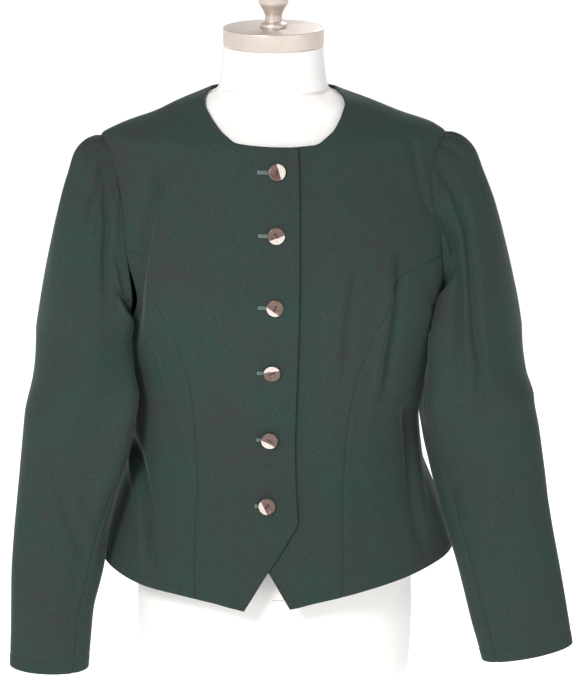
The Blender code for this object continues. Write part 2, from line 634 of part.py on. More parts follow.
def sleeve_grid(side):
    """The points of a whole sleeve from the armhole down, and the way each faces out."""
    place = armhole_places(side)
    head_down = np.linspace(0, 1, HEAD_ROWS + 1)
    low_down = np.linspace(0, 1, SLEEVE_ROWS + 1)[1:]
    down = np.concatenate([head_down * HEAD_SHARE, HEAD_SHARE + low_down * (1 - HEAD_SHARE)])
    place, down = np.meshgrid(place, down)
    head = sleeve_head(side, place, np.clip(down / HEAD_SHARE, 0, 1))
    low = sleeve_ring(side, place, np.clip((down - HEAD_SHARE) / (1 - HEAD_SHARE), 0, 1))
    points = np.where((down <= HEAD_SHARE)[..., None], head, low)
    points -= grid_normals(side, points) * pleat_depth(side, place, down)[..., None]
    return points, grid_normals(side, points)


def pleat_depth(side, place, down):
    """How far a sleeve's pleats press in at a place round it and down it."""
    depth = np.zeros_like(place)
    for pleat in PLEATS[side]:
        part = np.clip((down - pleat.down_top) / (pleat.down_low - pleat.down_top), 0.0, 1.0)
        middle = pleat.turn_top + (pleat.turn_low - pleat.turn_top) * part ** 0.8
        apart = (place - middle + 180) % 360 - 180
        swell = ease(part / 0.12) * ease((1 - part) / 0.5)
        depth += pleat.depth * swell * np.exp(-((apart / pleat.width) ** 2))
    return depth


def grid_normals(side, points):
    """The outward directions of a tube's points; its first and last columns are the same line."""
    wrapped = np.concatenate([points[:, -2:-1], points, points[:, 1:2]], axis=1)
    round_it = wrapped[:, 2:] - wrapped[:, :-2]
    normal = np.cross(round_it, np.gradient(points, axis=0)) * SIGN[side]
    return normal / np.linalg.norm(normal, axis=-1, keepdims=True)


def add_sleeve(collection, side):
    """A sleeve in two pieces: the upper one round the outside and the under one beside the body."""
    points, normals = sleeve_grid(side)
    inner_points = points - normals * WALL
    step_out = np.array([SIGN[side] * SEAM_GAP, 0, 0])
    points[0] += step_out
    inner_points[0] += step_out
    armpit = ROWS_HIGH + SIDE_COLUMNS
    first, last = armpit - UNDER_SLEEVE_HALF, armpit + UNDER_SLEEVE_HALF
    whole = np.arange(points.shape[1] - 1)
    outside = np.concatenate([whole[last:], whole[: first + 1]])
    cuts = {"under": np.arange(first, last + 1), "upper": outside}
    for cut, columns in cuts.items():
        name = f"sleeve_{cut}_{side}"
        order = columns if side == "right" else columns[::-1]
        outer = drawn_in(points[::-1][:, order], ("start", "end"))
        inner = drawn_in(inner_points[::-1][:, order], ("start", "end"))
        add_object(collection, name, wall_mesh(name, outer, inner), WOOL)


def add_turned(collection, name, profile, steps, finish):
    """A turned solid from its profile, which runs from the top down its outside."""
    mesh = bpy.data.meshes.new(name)
    points = [(row.radius, 0.0, row.z) for row in profile]
    mesh.from_pydata(points, [(i, i + 1) for i in range(len(points) - 1)], [])
    obj = add_object(collection, name, mesh, finish)
    screw = obj.modifiers.new("Turn", "SCREW")
    screw.steps = screw.render_steps = steps
    screw.use_merge_vertices = True
    screw.merge_threshold = 1e-5
    return obj


def seat_height(front, point, normal):
    """How high the front's facets stand above a plane, anywhere under a button laid on it."""
    mesh = front.data
    tree = BVHTree.FromPolygons([v.co for v in mesh.vertices], [p.vertices for p in mesh.polygons])
    point, normal = Vector(point), Vector(normal)
    across = normal.orthogonal().normalized()
    around = normal.cross(across)
    heights = []
    for step in range(BUTTON_STEPS):
        angle = math.tau * step / BUTTON_STEPS
        for share in (0.0, 0.5, 1.0):
            side = (across * math.cos(angle) + around * math.sin(angle)) * BUTTON_RADIUS * share
            hit = tree.ray_cast(point + side + normal * SEAT_REACH, -normal)[0]
            heights.append((hit - point).dot(normal))
    return max(heights)


def add_button(collection, front, number, place):
    """A flat sewn-through button with a raised rim, on the right front's outer face."""
    radius, height = BUTTON_RADIUS, BUTTON_HEIGHT
    profile = (
        Turned(0.0, 0.60 * height), Turned(0.52 * radius, 0.60 * height),
        Turned(0.70 * radius, 0.95 * height), Turned(0.88 * radius, height),
        Turned(radius, 0.62 * height), Turned(0.95 * radius, 0.18 * height),
        Turned(0.80 * radius, 0.0), Turned(0.0, 0.0),
    )
    obj = add_turned(collection, f"button_{number}", profile, BUTTON_STEPS, HORN)
    turn, z = turn_at(np.array([place.x]), np.array([place.z])), np.array([place.z])
    point = cloth_point(turn, z, 1)[0]
    normal = normal_of(lambda t, h: cloth_point(t, h, 1), turn, z)[0]
    obj.location = point + normal * (BUTTON_GAP + seat_height(front, point, normal))
    lean, swing = math.acos(normal[2]), math.atan2(normal[1], normal[0])
    obj.rotation_euler = (0.0, lean, swing)


def add_form(collection):
    """The form's torso, from its flat underside to the flat top of its neck, held inside the jacket."""
    low = np.linspace(FORM_EDGE_Z, FORM_CHEST_Z, FORM_LOW_RINGS)
    high = np.linspace(FORM_CHEST_Z, FORM_TOP_Z, FORM_HIGH_RINGS)
    z = np.concatenate([[FORM_LOW_Z, FORM[1].z], low, high[1:]])
    turn = np.linspace(0, 360, FORM_STEPS + 1)[:-1]
    turn, height = np.meshgrid(np.where(turn > 180, turn - 360, turn), z)
    rings = inside_jacket(ring_point(FORM, turn, height))
    bm = bmesh.new()
    loops = [[bm.verts.new(point) for point in ring] for ring in rings]
    for low, high in zip(loops, loops[1:]):
        for j in range(FORM_STEPS):
            k = (j + 1) % FORM_STEPS
            bm.faces.new((low[j], low[k], high[k], high[j]))
    bm.faces.new(loops[0][::-1])
    bm.faces.new(loops[-1])
    mesh = bpy.data.meshes.new("form_torso")
    bm.to_mesh(mesh)
    bm.free()
    add_object(collection, "form_torso", mesh, JERSEY)


def inside_jacket(rings):
    """The form's rings, brought in where they would come nearer to the jacket's inside than it rests."""
    for ring in rings:
        z = ring[0, 2]
        if z > NECK_POINT_Z:
            continue
        neck_turn = float(curve_through(column(NECKLINE, "z"), FORM_NECK_TURNS, z))
        turn = np.linspace(-180, 180, FORM_LIMIT_PLACES + 1)
        outer, normal = cloth_point(turn, z, -1), normal_of(lambda t, h: cloth_point(t, h, -1), turn, z)
        reach = np.hypot(outer[:, 0], outer[:, 1])
        facing = np.sum(normal[:, :2] * outer[:, :2], axis=1) / reach
        near_neck = ease((z - FORM_NECK_LOW_Z) / (FORM_NECK_HIGH_Z - FORM_NECK_LOW_Z))
        loose = FORM_EASE + (FORM_NECK_EASE - FORM_EASE) * near_neck
        clear = WALL + FORM_REST_GAP + loose * ease(np.abs(np.abs(turn) - SHOULDER_SEAM) / FORM_REST_TURN)
        limit = reach - clear / np.clip(facing, 0.25, 1.0)
        angle, own = np.arctan2(outer[:, 0], -outer[:, 1]), np.hypot(ring[:, 0], ring[:, 1])
        allowed = np.interp(np.arctan2(ring[:, 0], -ring[:, 1]), angle, limit)
        inside_neck = neck_turn - np.abs(np.degrees(np.arctan2(ring[:, 0], -ring[:, 1])))
        covered = 1 - ease(inside_neck / FORM_NECK_SOFT)
        ring[:, :2] *= (1 - covered * (1 - np.minimum(1.0, allowed / own)))[:, None]
    return rings


def add_base_cap_and_finial(collection):
    cap = (
        Turned(0.0, CAP_TOP_Z), Turned(CAP_RADIUS - CAP_EDGE, CAP_TOP_Z),
        Turned(CAP_RADIUS, CAP_TOP_Z - CAP_EDGE), Turned(CAP_RADIUS, CAP_LOW_Z + CAP_EDGE),
        Turned(CAP_RADIUS - CAP_EDGE, CAP_LOW_Z), Turned(0.0, CAP_LOW_Z),
    )
    low, high = BASE[0].z + SOLID_GAP, FORM_LOW_Z - SOLID_GAP
    pole = (Turned(0.0, high), Turned(POLE_RADIUS, high), Turned(POLE_RADIUS, low), Turned(0.0, low))
    add_turned(collection, "neck_cap", cap, CAP_STEPS, METAL)
    add_turned(collection, "finial", FINIAL, FINIAL_STEPS, METAL)
    add_turned(collection, "stand_base", BASE, BASE_STEPS, METAL)
    add_turned(collection, "stand_pole", pole, POLE_STEPS, METAL)


def main():
    clear_scene()
    collection = bpy.data.collections.new("hunting_jacket")
    bpy.context.scene.collection.children.link(collection)
    add_form(collection)
    add_base_cap_and_finial(collection)
    for side in SIGN:
        add_front(collection, side)
        add_side_front(collection, side)
        add_side_back(collection, side)
        add_sleeve(collection, side)
    add_back(collection)
    for number, place in enumerate(BUTTONS, 1):
        add_button(collection, bpy.data.objects["front_right"], number, place)


main()
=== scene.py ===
"""A collarless wool hunting jacket on its limbless dress form, with its sewing, creases and finish.

Metres, +Z up. The front faces -Y, and left and right are the wearer's: the right side is at -X.
"""

import math
from collections import namedtuple

import bmesh
import bpy
import numpy as np
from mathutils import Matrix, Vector, noise


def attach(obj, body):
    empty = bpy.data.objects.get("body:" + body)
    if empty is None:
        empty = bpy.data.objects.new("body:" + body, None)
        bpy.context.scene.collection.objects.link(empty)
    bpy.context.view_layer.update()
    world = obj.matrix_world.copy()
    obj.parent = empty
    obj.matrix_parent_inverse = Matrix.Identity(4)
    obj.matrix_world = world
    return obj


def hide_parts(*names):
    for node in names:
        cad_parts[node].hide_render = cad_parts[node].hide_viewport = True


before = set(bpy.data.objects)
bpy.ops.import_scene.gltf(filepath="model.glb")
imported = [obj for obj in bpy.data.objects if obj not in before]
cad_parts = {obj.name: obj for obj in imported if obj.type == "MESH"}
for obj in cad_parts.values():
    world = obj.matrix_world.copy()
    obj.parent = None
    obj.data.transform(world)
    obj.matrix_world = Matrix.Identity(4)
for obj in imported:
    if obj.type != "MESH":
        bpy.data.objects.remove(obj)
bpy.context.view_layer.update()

bl_info = {
    "name": "Hunting jacket on a dress form",
    "version": (1, 0, 0),
    "blender": (4, 5, 0),
    "location": "3D View > Sidebar > Jacket",
    "description": "Makes a fitted wool jacket with its seams, creases and buttons on a dress form",
    "category": "Object",
}

# Cloth
WALL = 0.0022
SEAM_GAP = 0.0003
ARMHOLE_GAP = 0.0001
ARMHOLE_ROLL, ARMHOLE_ROLL_DEEP = 0.0013, 0.0016
ARMHOLE_ROLL_DOWN, ARMHOLE_ROLL_STEPS = 0.006, 241
LAP_GAP = 0.0015
LAP_FLAT, LAP_END = 0.046, 0.073
SHOULDER_SEAM = 90.0
BACK_MIDDLE = 180.0
NECK_POINT_Z = 1.3195
BACK_NECK_Z = 1.3140

# Rows of a front run from 0 at the hem to 22 at the shoulder seam: its point's corner, the
# armhole's start and the neckline's start are on these rows
CORNER_ROW, ARMHOLE_ROW, NECK_ROW, LAST_ROW = 3, 12, 14, 22
HEM_BLEND = 0.25
DEGREE_LENGTH = 0.0024
BACK_SHOULDER_COLUMNS, BACK_NECK_COLUMNS = 4, 6

# How closely the cloth is drawn: usual steps, and the places near an edge or a turned hem
STEP_ACROSS, STEP_DOWN = 0.0020, 0.0035
EDGE_STOPS = (0.0, 0.00015, 0.0004, 0.0008, 0.0013, 0.0020, 0.0029, 0.0040, 0.0053, 0.0068, 0.0085)
HEM_STOPS = (
    0.0, 0.0002, 0.0005, 0.0009, 0.0016, 0.0028, 0.0048, 0.0068, 0.0082, 0.0090, 0.0096, 0.0102,
    0.0108, 0.0114, 0.0120, 0.0126, 0.0132, 0.0140, 0.0152, 0.0170, 0.0194,
)
CUFF_STOPS = (
    0.0, 0.0002, 0.0005, 0.0009, 0.0016, 0.0030, 0.0055, 0.0085, 0.0115, 0.0132, 0.0140, 0.0145,
    0.0150, 0.0155, 0.0160, 0.0168, 0.0182, 0.0205,
)
EDGE_ROUND = 0.0010
SEAM_REACH = 0.0034
# Seams are drawn in by these shares; an armhole has its roll instead
SEAM_SHARES = {"seam": 1.0, "armhole": 0.0}
SEAM_RIDGE, SEAM_RIDGE_AT, SEAM_RIDGE_HALF = 0.0003, 0.0056, 0.0018
HEM_WIDTH, CUFF_WIDTH = 0.011, 0.015
TURN_RISE, GROOVE_HALF = 0.0003, 0.0009
FRONT_BAND = 0.0042

# Dress form
FORM_REST_GAP, FORM_EASE, FORM_REST_TURN = 0.0009, 0.0045, 35.0
FORM_NECK_EASE, FORM_NECK_LOW_Z, FORM_NECK_HIGH_Z = 0.0026, 1.245, 1.290
FORM_LIMIT_PLACES = 360
FORM_TOP_EDGE = 0.0008
FORM_SEAM_PLACES = (-2.4, -1.2, -0.7, -0.35, 0.0, 0.35, 0.7, 1.2, 2.4)
FORM_SEAM_HALF = 0.55
FORM_LOW_Z, FORM_EDGE_Z, FORM_CHEST_Z, FORM_TOP_Z = 0.620, 0.640, 1.190, 1.3655
CAP_RADIUS, CAP_LOW_Z, CAP_TOP_Z, CAP_EDGE = 0.0550, 1.3658, 1.3850, 0.0012
POLE_RADIUS = 0.0125
SOLID_GAP = 0.0003
TURNED_STEPS = 96

# Buttons
BUTTON_RADIUS, BUTTON_HEIGHT = 0.00925, 0.0030
# A button's face: heights, as shares of its own, at shares of its radius
RIM_AT = (0, 0.45, 0.56, 0.70, 0.84, 0.94, 1.0)
RIM_RISE = (0.58, 0.60, 0.66, 0.92, 1.0, 0.90, 0.55)
FACET_TOP, FACET_FALL, FACET_FLOOR = 0.98, 0.42, 0.86
BUTTON_STEPS, RIM_START, BUTTON_CREASE = 112, 0.97, 42
BUTTON_UNDER = ((0.96, 0.14), (0.80, 0.0), (0.02, 0.0))
# Its thread: shares of the way from one hole to the other, and of the button's height
THREAD_RUN = ((-1.0, 0.30), (-0.80, 0.62), (-0.4, 0.74), (0.4, 0.74), (0.80, 0.62), (1.0, 0.30))
THREAD_APART, THREAD_RADIUS = 0.00028, 0.00027
HOLE_APART, HOLE_RADIUS, HOLE_DEPTH = 0.0022, 0.0009, 0.0013
BUTTONHOLE_LIP, BUTTONHOLE_PITCH, BUTTONHOLE_UNDER = 0.0017, 0.0008, 0.0015
TWIST_RADIUS = 0.00033

Section = namedtuple("Section", "z right left front back square")
JACKET = (
    Section(0.745, 0.206, 0.213, 0.139, 0.130, 2.10),
    Section(0.790, 0.198, 0.206, 0.132, 0.123, 2.10),
    Section(0.850, 0.181, 0.187, 0.121, 0.112, 2.10),
    Section(0.900, 0.165, 0.168, 0.112, 0.103, 2.15),
    Section(0.945, 0.160, 0.162, 0.109, 0.098, 2.20),
    Section(1.000, 0.159, 0.173, 0.116, 0.103, 2.25),
    Section(1.055, 0.166, 0.184, 0.126, 0.110, 2.35),
    Section(1.105, 0.176, 0.193, 0.131, 0.115, 2.45),
    Section(1.150, 0.182, 0.197, 0.126, 0.118, 2.30),
    Section(1.200, 0.190, 0.198, 0.114, 0.113, 1.95),
    Section(1.240, 0.195, 0.198, 0.100, 0.104, 1.65),
    Section(1.265, 0.191, 0.194, 0.090, 0.096, 1.50),
    Section(1.278, 0.170, 0.179, 0.080, 0.088, 1.50),
    Section(1.291, 0.134, 0.142, 0.068, 0.082, 1.57),
    Section(1.3046, 0.105, 0.108, 0.058, 0.075, 1.70),
    Section(1.3195, 0.068, 0.067, 0.049, 0.068, 1.95),
    Section(1.328, 0.056, 0.056, 0.045, 0.064, 2.00),
)

# The form's own shape, smaller than the jacket but for the shoulders, where the jacket rests on it
FORM = (
    Section(0.620, 0.143, 0.143, 0.087, 0.094, 2.10),
    Section(0.626, 0.151, 0.151, 0.095, 0.102, 2.10),
    Section(0.640, 0.157, 0.157, 0.101, 0.109, 2.10),
    Section(0.700, 0.1595, 0.1595, 0.106, 0.115, 2.10),
    Section(0.760, 0.158, 0.158, 0.105, 0.113, 2.10),
    Section(0.820, 0.150, 0.150, 0.098, 0.102, 2.10),
    Section(0.880, 0.136, 0.136, 0.088, 0.088, 2.10),
    Section(0.945, 0.122, 0.122, 0.082, 0.078, 2.10),
    Section(1.000, 0.129, 0.129, 0.092, 0.086, 2.15),
    Section(1.055, 0.143, 0.143, 0.108, 0.098, 2.25),
    Section(1.105, 0.155, 0.155, 0.118, 0.105, 2.35),
    Section(1.150, 0.160, 0.162, 0.110, 0.108, 2.25),
    Section(1.200, 0.166, 0.170, 0.098, 0.103, 1.95),
    Section(1.240, 0.174, 0.177, 0.086, 0.094, 1.65),
    Section(1.262, 0.176, 0.178, 0.080, 0.087, 1.50),
    Section(1.278, 0.160, 0.168, 0.072, 0.080, 1.50),
    Section(1.291, 0.126, 0.134, 0.060, 0.073, 1.60),
    Section(1.3046, 0.097, 0.100, 0.052, 0.067, 1.75),
    Section(1.318, 0.0622, 0.0612, 0.0495, 0.061, 1.95),
    Section(1.332, 0.0575, 0.0575, 0.0510, 0.0565, 2.00),
    Section(1.350, 0.0555, 0.0555, 0.0535, 0.0555, 2.00),
    Section(1.3655, 0.0545, 0.0545, 0.0545, 0.0545, 2.00),
)
# The angle where the jacket's neckline lies at each of its heights, and how softly the form
# fills out inside it
FORM_NECK_TURNS = (0.0, 10.0, 15.0, 26.0, 41.0, 54.0)
FORM_NECK_SOFT = 28.0

# Height of the hem on each side, by the angle from the front's middle
Hem = namedtuple("Hem", "turn right left")
HEM = (
    Hem(0, 0.7565, 0.7575), Hem(5, 0.7565, 0.7580), Hem(11, 0.7580, 0.7625), Hem(20, 0.7635, 0.7685),
    Hem(33, 0.7685, 0.7757), Hem(45, 0.7705, 0.7810), Hem(64, 0.7765, 0.7870), Hem(90, 0.7820, 0.7890),
    Hem(180, 0.7850, 0.7850),
)

# The neckline's front half, from the front's middle to the shoulder seam, as seen from the front
Neck = namedtuple("Neck", "right left z")
NECKLINE = (
    Neck(0.0000, 0.0000, 1.2688),
    Neck(0.0366, 0.0448, 1.2719),
    Neck(0.0506, 0.0587, 1.2790),
    Neck(0.0627, 0.0696, 1.2898),
    Neck(0.0727, 0.0765, 1.3030),
    Neck(0.0750, 0.0770, 1.3110),
)

# Each front's free edge from its point at the hem to its top, as seen from the front
Edge = namedtuple("Edge", "x z")
RIGHT_EDGE = (
    Edge(-0.0330, 0.7562), Edge(-0.0063, 0.7997), Edge(0.0268, 0.8537),
    Edge(0.0266, 1.0557), Edge(0.0265, 1.2692),
)
LEFT_EDGE = (
    Edge(0.0180, 0.7578), Edge(-0.0063, 0.7997), Edge(-0.0380, 0.8500),
    Edge(-0.0380, 1.0557), Edge(-0.0380, 1.2715),
)

# Front princess seams from the hem to the armhole
RIGHT_PRINCESS = (
    Edge(-0.0870, 0.7740), Edge(-0.0862, 0.8600), Edge(-0.0862, 0.9340), Edge(-0.0925, 1.0080),
    Edge(-0.1120, 1.0720), Edge(-0.1305, 1.1080), Edge(-0.1400, 1.1450),
)
LEFT_PRINCESS = (
    Edge(0.0754, 0.7740), Edge(0.0765, 0.8560), Edge(0.0796, 0.9340), Edge(0.0899, 1.0080),
    Edge(0.1107, 1.0680), Edge(0.1260, 1.1000), Edge(0.1430, 1.1340),
)
# Back princess seams, as distances from the back's middle
BACK_PRINCESS = (
    Edge(0.0820, 0.7850), Edge(0.0720, 0.8600), Edge(0.0640, 0.9400), Edge(0.0760, 1.0200),
    Edge(0.1020, 1.0900), Edge(0.1330, 1.1350),
)

# The armhole: how far its edge stands from the side line, in degrees round the body,
# over the sine of the place on it
Armhole = namedtuple("Armhole", "top_z low_z front_junction back_junction front back")
ARMHOLE_PLACES = (0, 45, 90, 135, 180)
ARMHOLES = {
    "right": Armhole(1.2650, 1.0560, 94.0, 262.0, (37, 31, 31, 42, 46), (26, 29, 31, 32, 30)),
    "left": Armhole(1.2700, 1.0580, 101.0, 262.0, (27, 32, 25, 24, 25), (24, 27, 28, 28, 27)),
}
SIGN = {"right": -1, "left": 1}

# The sleeves below the armpit: the middle, half width and half depth of each ring, how far it leans,
# and how far its front is turned in towards the body
Ring = namedtuple("Ring", "x y z width depth lean inward")
SLEEVES = {
    "right": (
        Ring(0.2165, -0.0290, 1.050, 0.0460, 0.0650, 0.0, 32),
        Ring(0.2135, -0.0370, 1.005, 0.0550, 0.0620, 0.5, 25),
        Ring(0.2187, -0.0400, 0.955, 0.0620, 0.0530, 1.0, 20),
        Ring(0.2270, -0.0450, 0.900, 0.0590, 0.0470, 1.5, 15),
        Ring(0.2392, -0.0530, 0.830, 0.0545, 0.0390, 2.0, 10),
        Ring(0.2460, -0.0580, 0.777, 0.0520, 0.0350, 2.5, 7),
        Ring(0.2530, -0.0620, 0.730, 0.0470, 0.0320, 3.0, 5),
        Ring(0.2585, -0.0620, 0.6585, 0.0450, 0.0270, 3.2, 3),
    ),
    "left": (
        Ring(0.2315, -0.0220, 1.050, 0.0440, 0.0650, 0.0, 28),
        Ring(0.2285, -0.0260, 1.000, 0.0555, 0.0580, 3.0, 20),
        Ring(0.2275, -0.0300, 0.970, 0.0655, 0.0530, 5.0, 16),
        Ring(0.2320, -0.0330, 0.940, 0.0660, 0.0480, 6.5, 12),
        Ring(0.2395, -0.0370, 0.900, 0.0645, 0.0430, 8.0, 10),
        Ring(0.2510, -0.0460, 0.845, 0.0605, 0.0370, 10.0, 7),
        Ring(0.2650, -0.0540, 0.7875, 0.0570, 0.0320, 11.5, 5),
        Ring(0.2778, -0.0580, 0.730, 0.0555, 0.0280, 12.5, 4),
        Ring(0.2904, -0.0600, 0.6755, 0.0530, 0.0235, 12.5, 3),
    ),
}
# The way each sleeve's head leaves the armhole and turns down, at its top and at the armpit
HEAD_OUT_TOP, HEAD_OUT_LOW = 0.160, 0.014
HEAD_RISE_TOP = 0.012
HEAD_DOWN_TOP, HEAD_DOWN_LOW = 0.250, 0.012
HEAD_TUCK, HEAD_SHARE = 0.03, 0.30
# The under sleeve lies between these shares of the armhole's low quarters
UNDER_FRONT, UNDER_BACK = 0.4, 0.6

# The body's creases, each a path of x and z from its top down, with its depth, its half width on
# the -X side and on the +X side, and the height of the ridge beside it on each of those sides
Crease = namedtuple("Crease", "face depth right left right_ridge left_ridge path")
BODY_CREASES = (
    Crease("front", 0.0088, 0.0110, 0.0085, 0.0004, 0.0012, (
        (-0.1095, 1.2753), (-0.1162, 1.2591), (-0.1248, 1.2172), (-0.1355, 1.1886),
        (-0.1449, 1.1404), (-0.1521, 1.0829), (-0.1545, 1.0403), (-0.1540, 1.0150))),
    Crease("front", 0.0018, 0.0060, 0.0060, 0.0002, 0.0004, (
        (-0.0870, 1.2900), (-0.0899, 1.2820), (-0.0992, 1.2530), (-0.1040, 1.2300))),
    Crease("front", 0.0007, 0.0060, 0.0060, 0.0001, 0.0002, (
        (-0.0951, 1.2727), (-0.0920, 1.2450), (-0.0891, 1.2142), (-0.0880, 1.1950))),
    Crease("front", 0.0021, 0.0050, 0.0045, 0.0003, 0.0002, (
        (-0.0780, 1.1180), (-0.0786, 1.0999), (-0.0795, 1.0408), (-0.0790, 1.0200))),
    Crease("front", 0.0033, 0.0070, 0.0060, 0.0008, 0.0003, (
        (-0.1390, 1.0620), (-0.1354, 1.0484), (-0.1253, 1.0014), (-0.1149, 0.9499),
        (-0.0984, 0.9025), (-0.0950, 0.8850))),
    Crease("front", 0.0068, 0.0050, 0.0075, 0.0030, 0.0004, (
        (-0.1640, 0.9350), (-0.1587, 0.9196), (-0.1486, 0.8863), (-0.1410, 0.8574),
        (-0.1375, 0.8068), (-0.1370, 0.7780))),
    Crease("front", 0.0009, 0.0075, 0.0075, 0.0002, 0.0002, (
        (-0.0560, 0.9300), (-0.0610, 0.8900), (-0.0640, 0.8300), (-0.0650, 0.7850))),
    Crease("front", 0.0039, 0.0045, 0.0032, 0.0008, 0.0006, (
        (0.1455, 1.2860), (0.1505, 1.2683), (0.1586, 1.2275), (0.1657, 1.2037), (0.1730, 1.1859),
        (0.1765, 1.1760))),
    Crease("front", 0.0065, 0.0040, 0.0072, 0.0020, 0.0004, (
        (0.1358, 1.1740), (0.1353, 1.1596), (0.1336, 1.1085), (0.1290, 1.0735),
        (0.1257, 1.0503), (0.1193, 0.9867), (0.1175, 0.9650))),
    Crease("front", 0.0035, 0.0040, 0.0052, 0.0010, 0.0002, (
        (0.0900, 1.1560), (0.0886, 1.1409), (0.0800, 1.0790), (0.0767, 1.0198), (0.0760, 1.0000))),
    Crease("front", 0.0029, 0.0055, 0.0055, 0.0004, 0.0004, (
        (0.1660, 1.1300), (0.1694, 1.1154), (0.1802, 1.0599), (0.1810, 1.0420))),
    Crease("front", 0.0057, 0.0064, 0.0046, 0.0004, 0.0026, (
        (0.1465, 0.9900), (0.1472, 0.9715), (0.1518, 0.9217), (0.1548, 0.8800),
        (0.1608, 0.8340), (0.1690, 0.8072), (0.1705, 0.7880))),
    Crease("front", 0.0009, 0.0080, 0.0070, 0.0002, 0.0003, (
        (0.0880, 0.9260), (0.0960, 0.8900), (0.1020, 0.8450), (0.1050, 0.7950))),
    Crease("back", 0.0062, 0.0060, 0.0100, 0.0012, 0.0004, (
        (-0.1200, 1.2300), (-0.1180, 1.2000), (-0.1120, 1.1200), (-0.0990, 1.0500),
        (-0.0880, 0.9850))),
    Crease("back", 0.0073, 0.0090, 0.0058, 0.0003, 0.0013, (
        (0.1240, 1.2200), (0.1210, 1.1850), (0.1180, 1.1100), (0.1090, 1.0500), (0.0950, 0.9750))),
    Crease("back", 0.0052, 0.0070, 0.0085, 0.0008, 0.0006, (
        (-0.0400, 1.0150), (-0.0345, 0.9500), (-0.0370, 0.8800), (-0.0450, 0.8100))),
    Crease("back", 0.0057, 0.0085, 0.0070, 0.0006, 0.0010, (
        (0.0470, 1.0050), (0.0390, 0.9400), (0.0410, 0.8700), (0.0520, 0.7950))),
    Crease("back", 0.0021, 0.0060, 0.0070, 0.0003, 0.0003, (
        (-0.0220, 1.2100), (-0.0260, 1.1600), (-0.0330, 1.1100))),
    Crease("back", 0.0018, 0.0060, 0.0060, 0.0003, 0.0003, (
        (0.0330, 1.2450), (0.0400, 1.1950), (0.0420, 1.1500))),
    Crease("back", 0.0031, 0.0070, 0.0070, 0.0010, 0.0004, (
        (-0.1360, 0.9300), (-0.1320, 0.8800), (-0.1300, 0.8000))),
    Crease("back", 0.0029, 0.0060, 0.0080, 0.0004, 0.0009, (
        (0.1330, 0.9500), (0.1350, 0.8900), (0.1420, 0.8100))),
)
CREASE_RISE, CREASE_FADE = 0.20, 0.30
RIDGE_AT, RIDGE_HALF = 2.1, 1.2

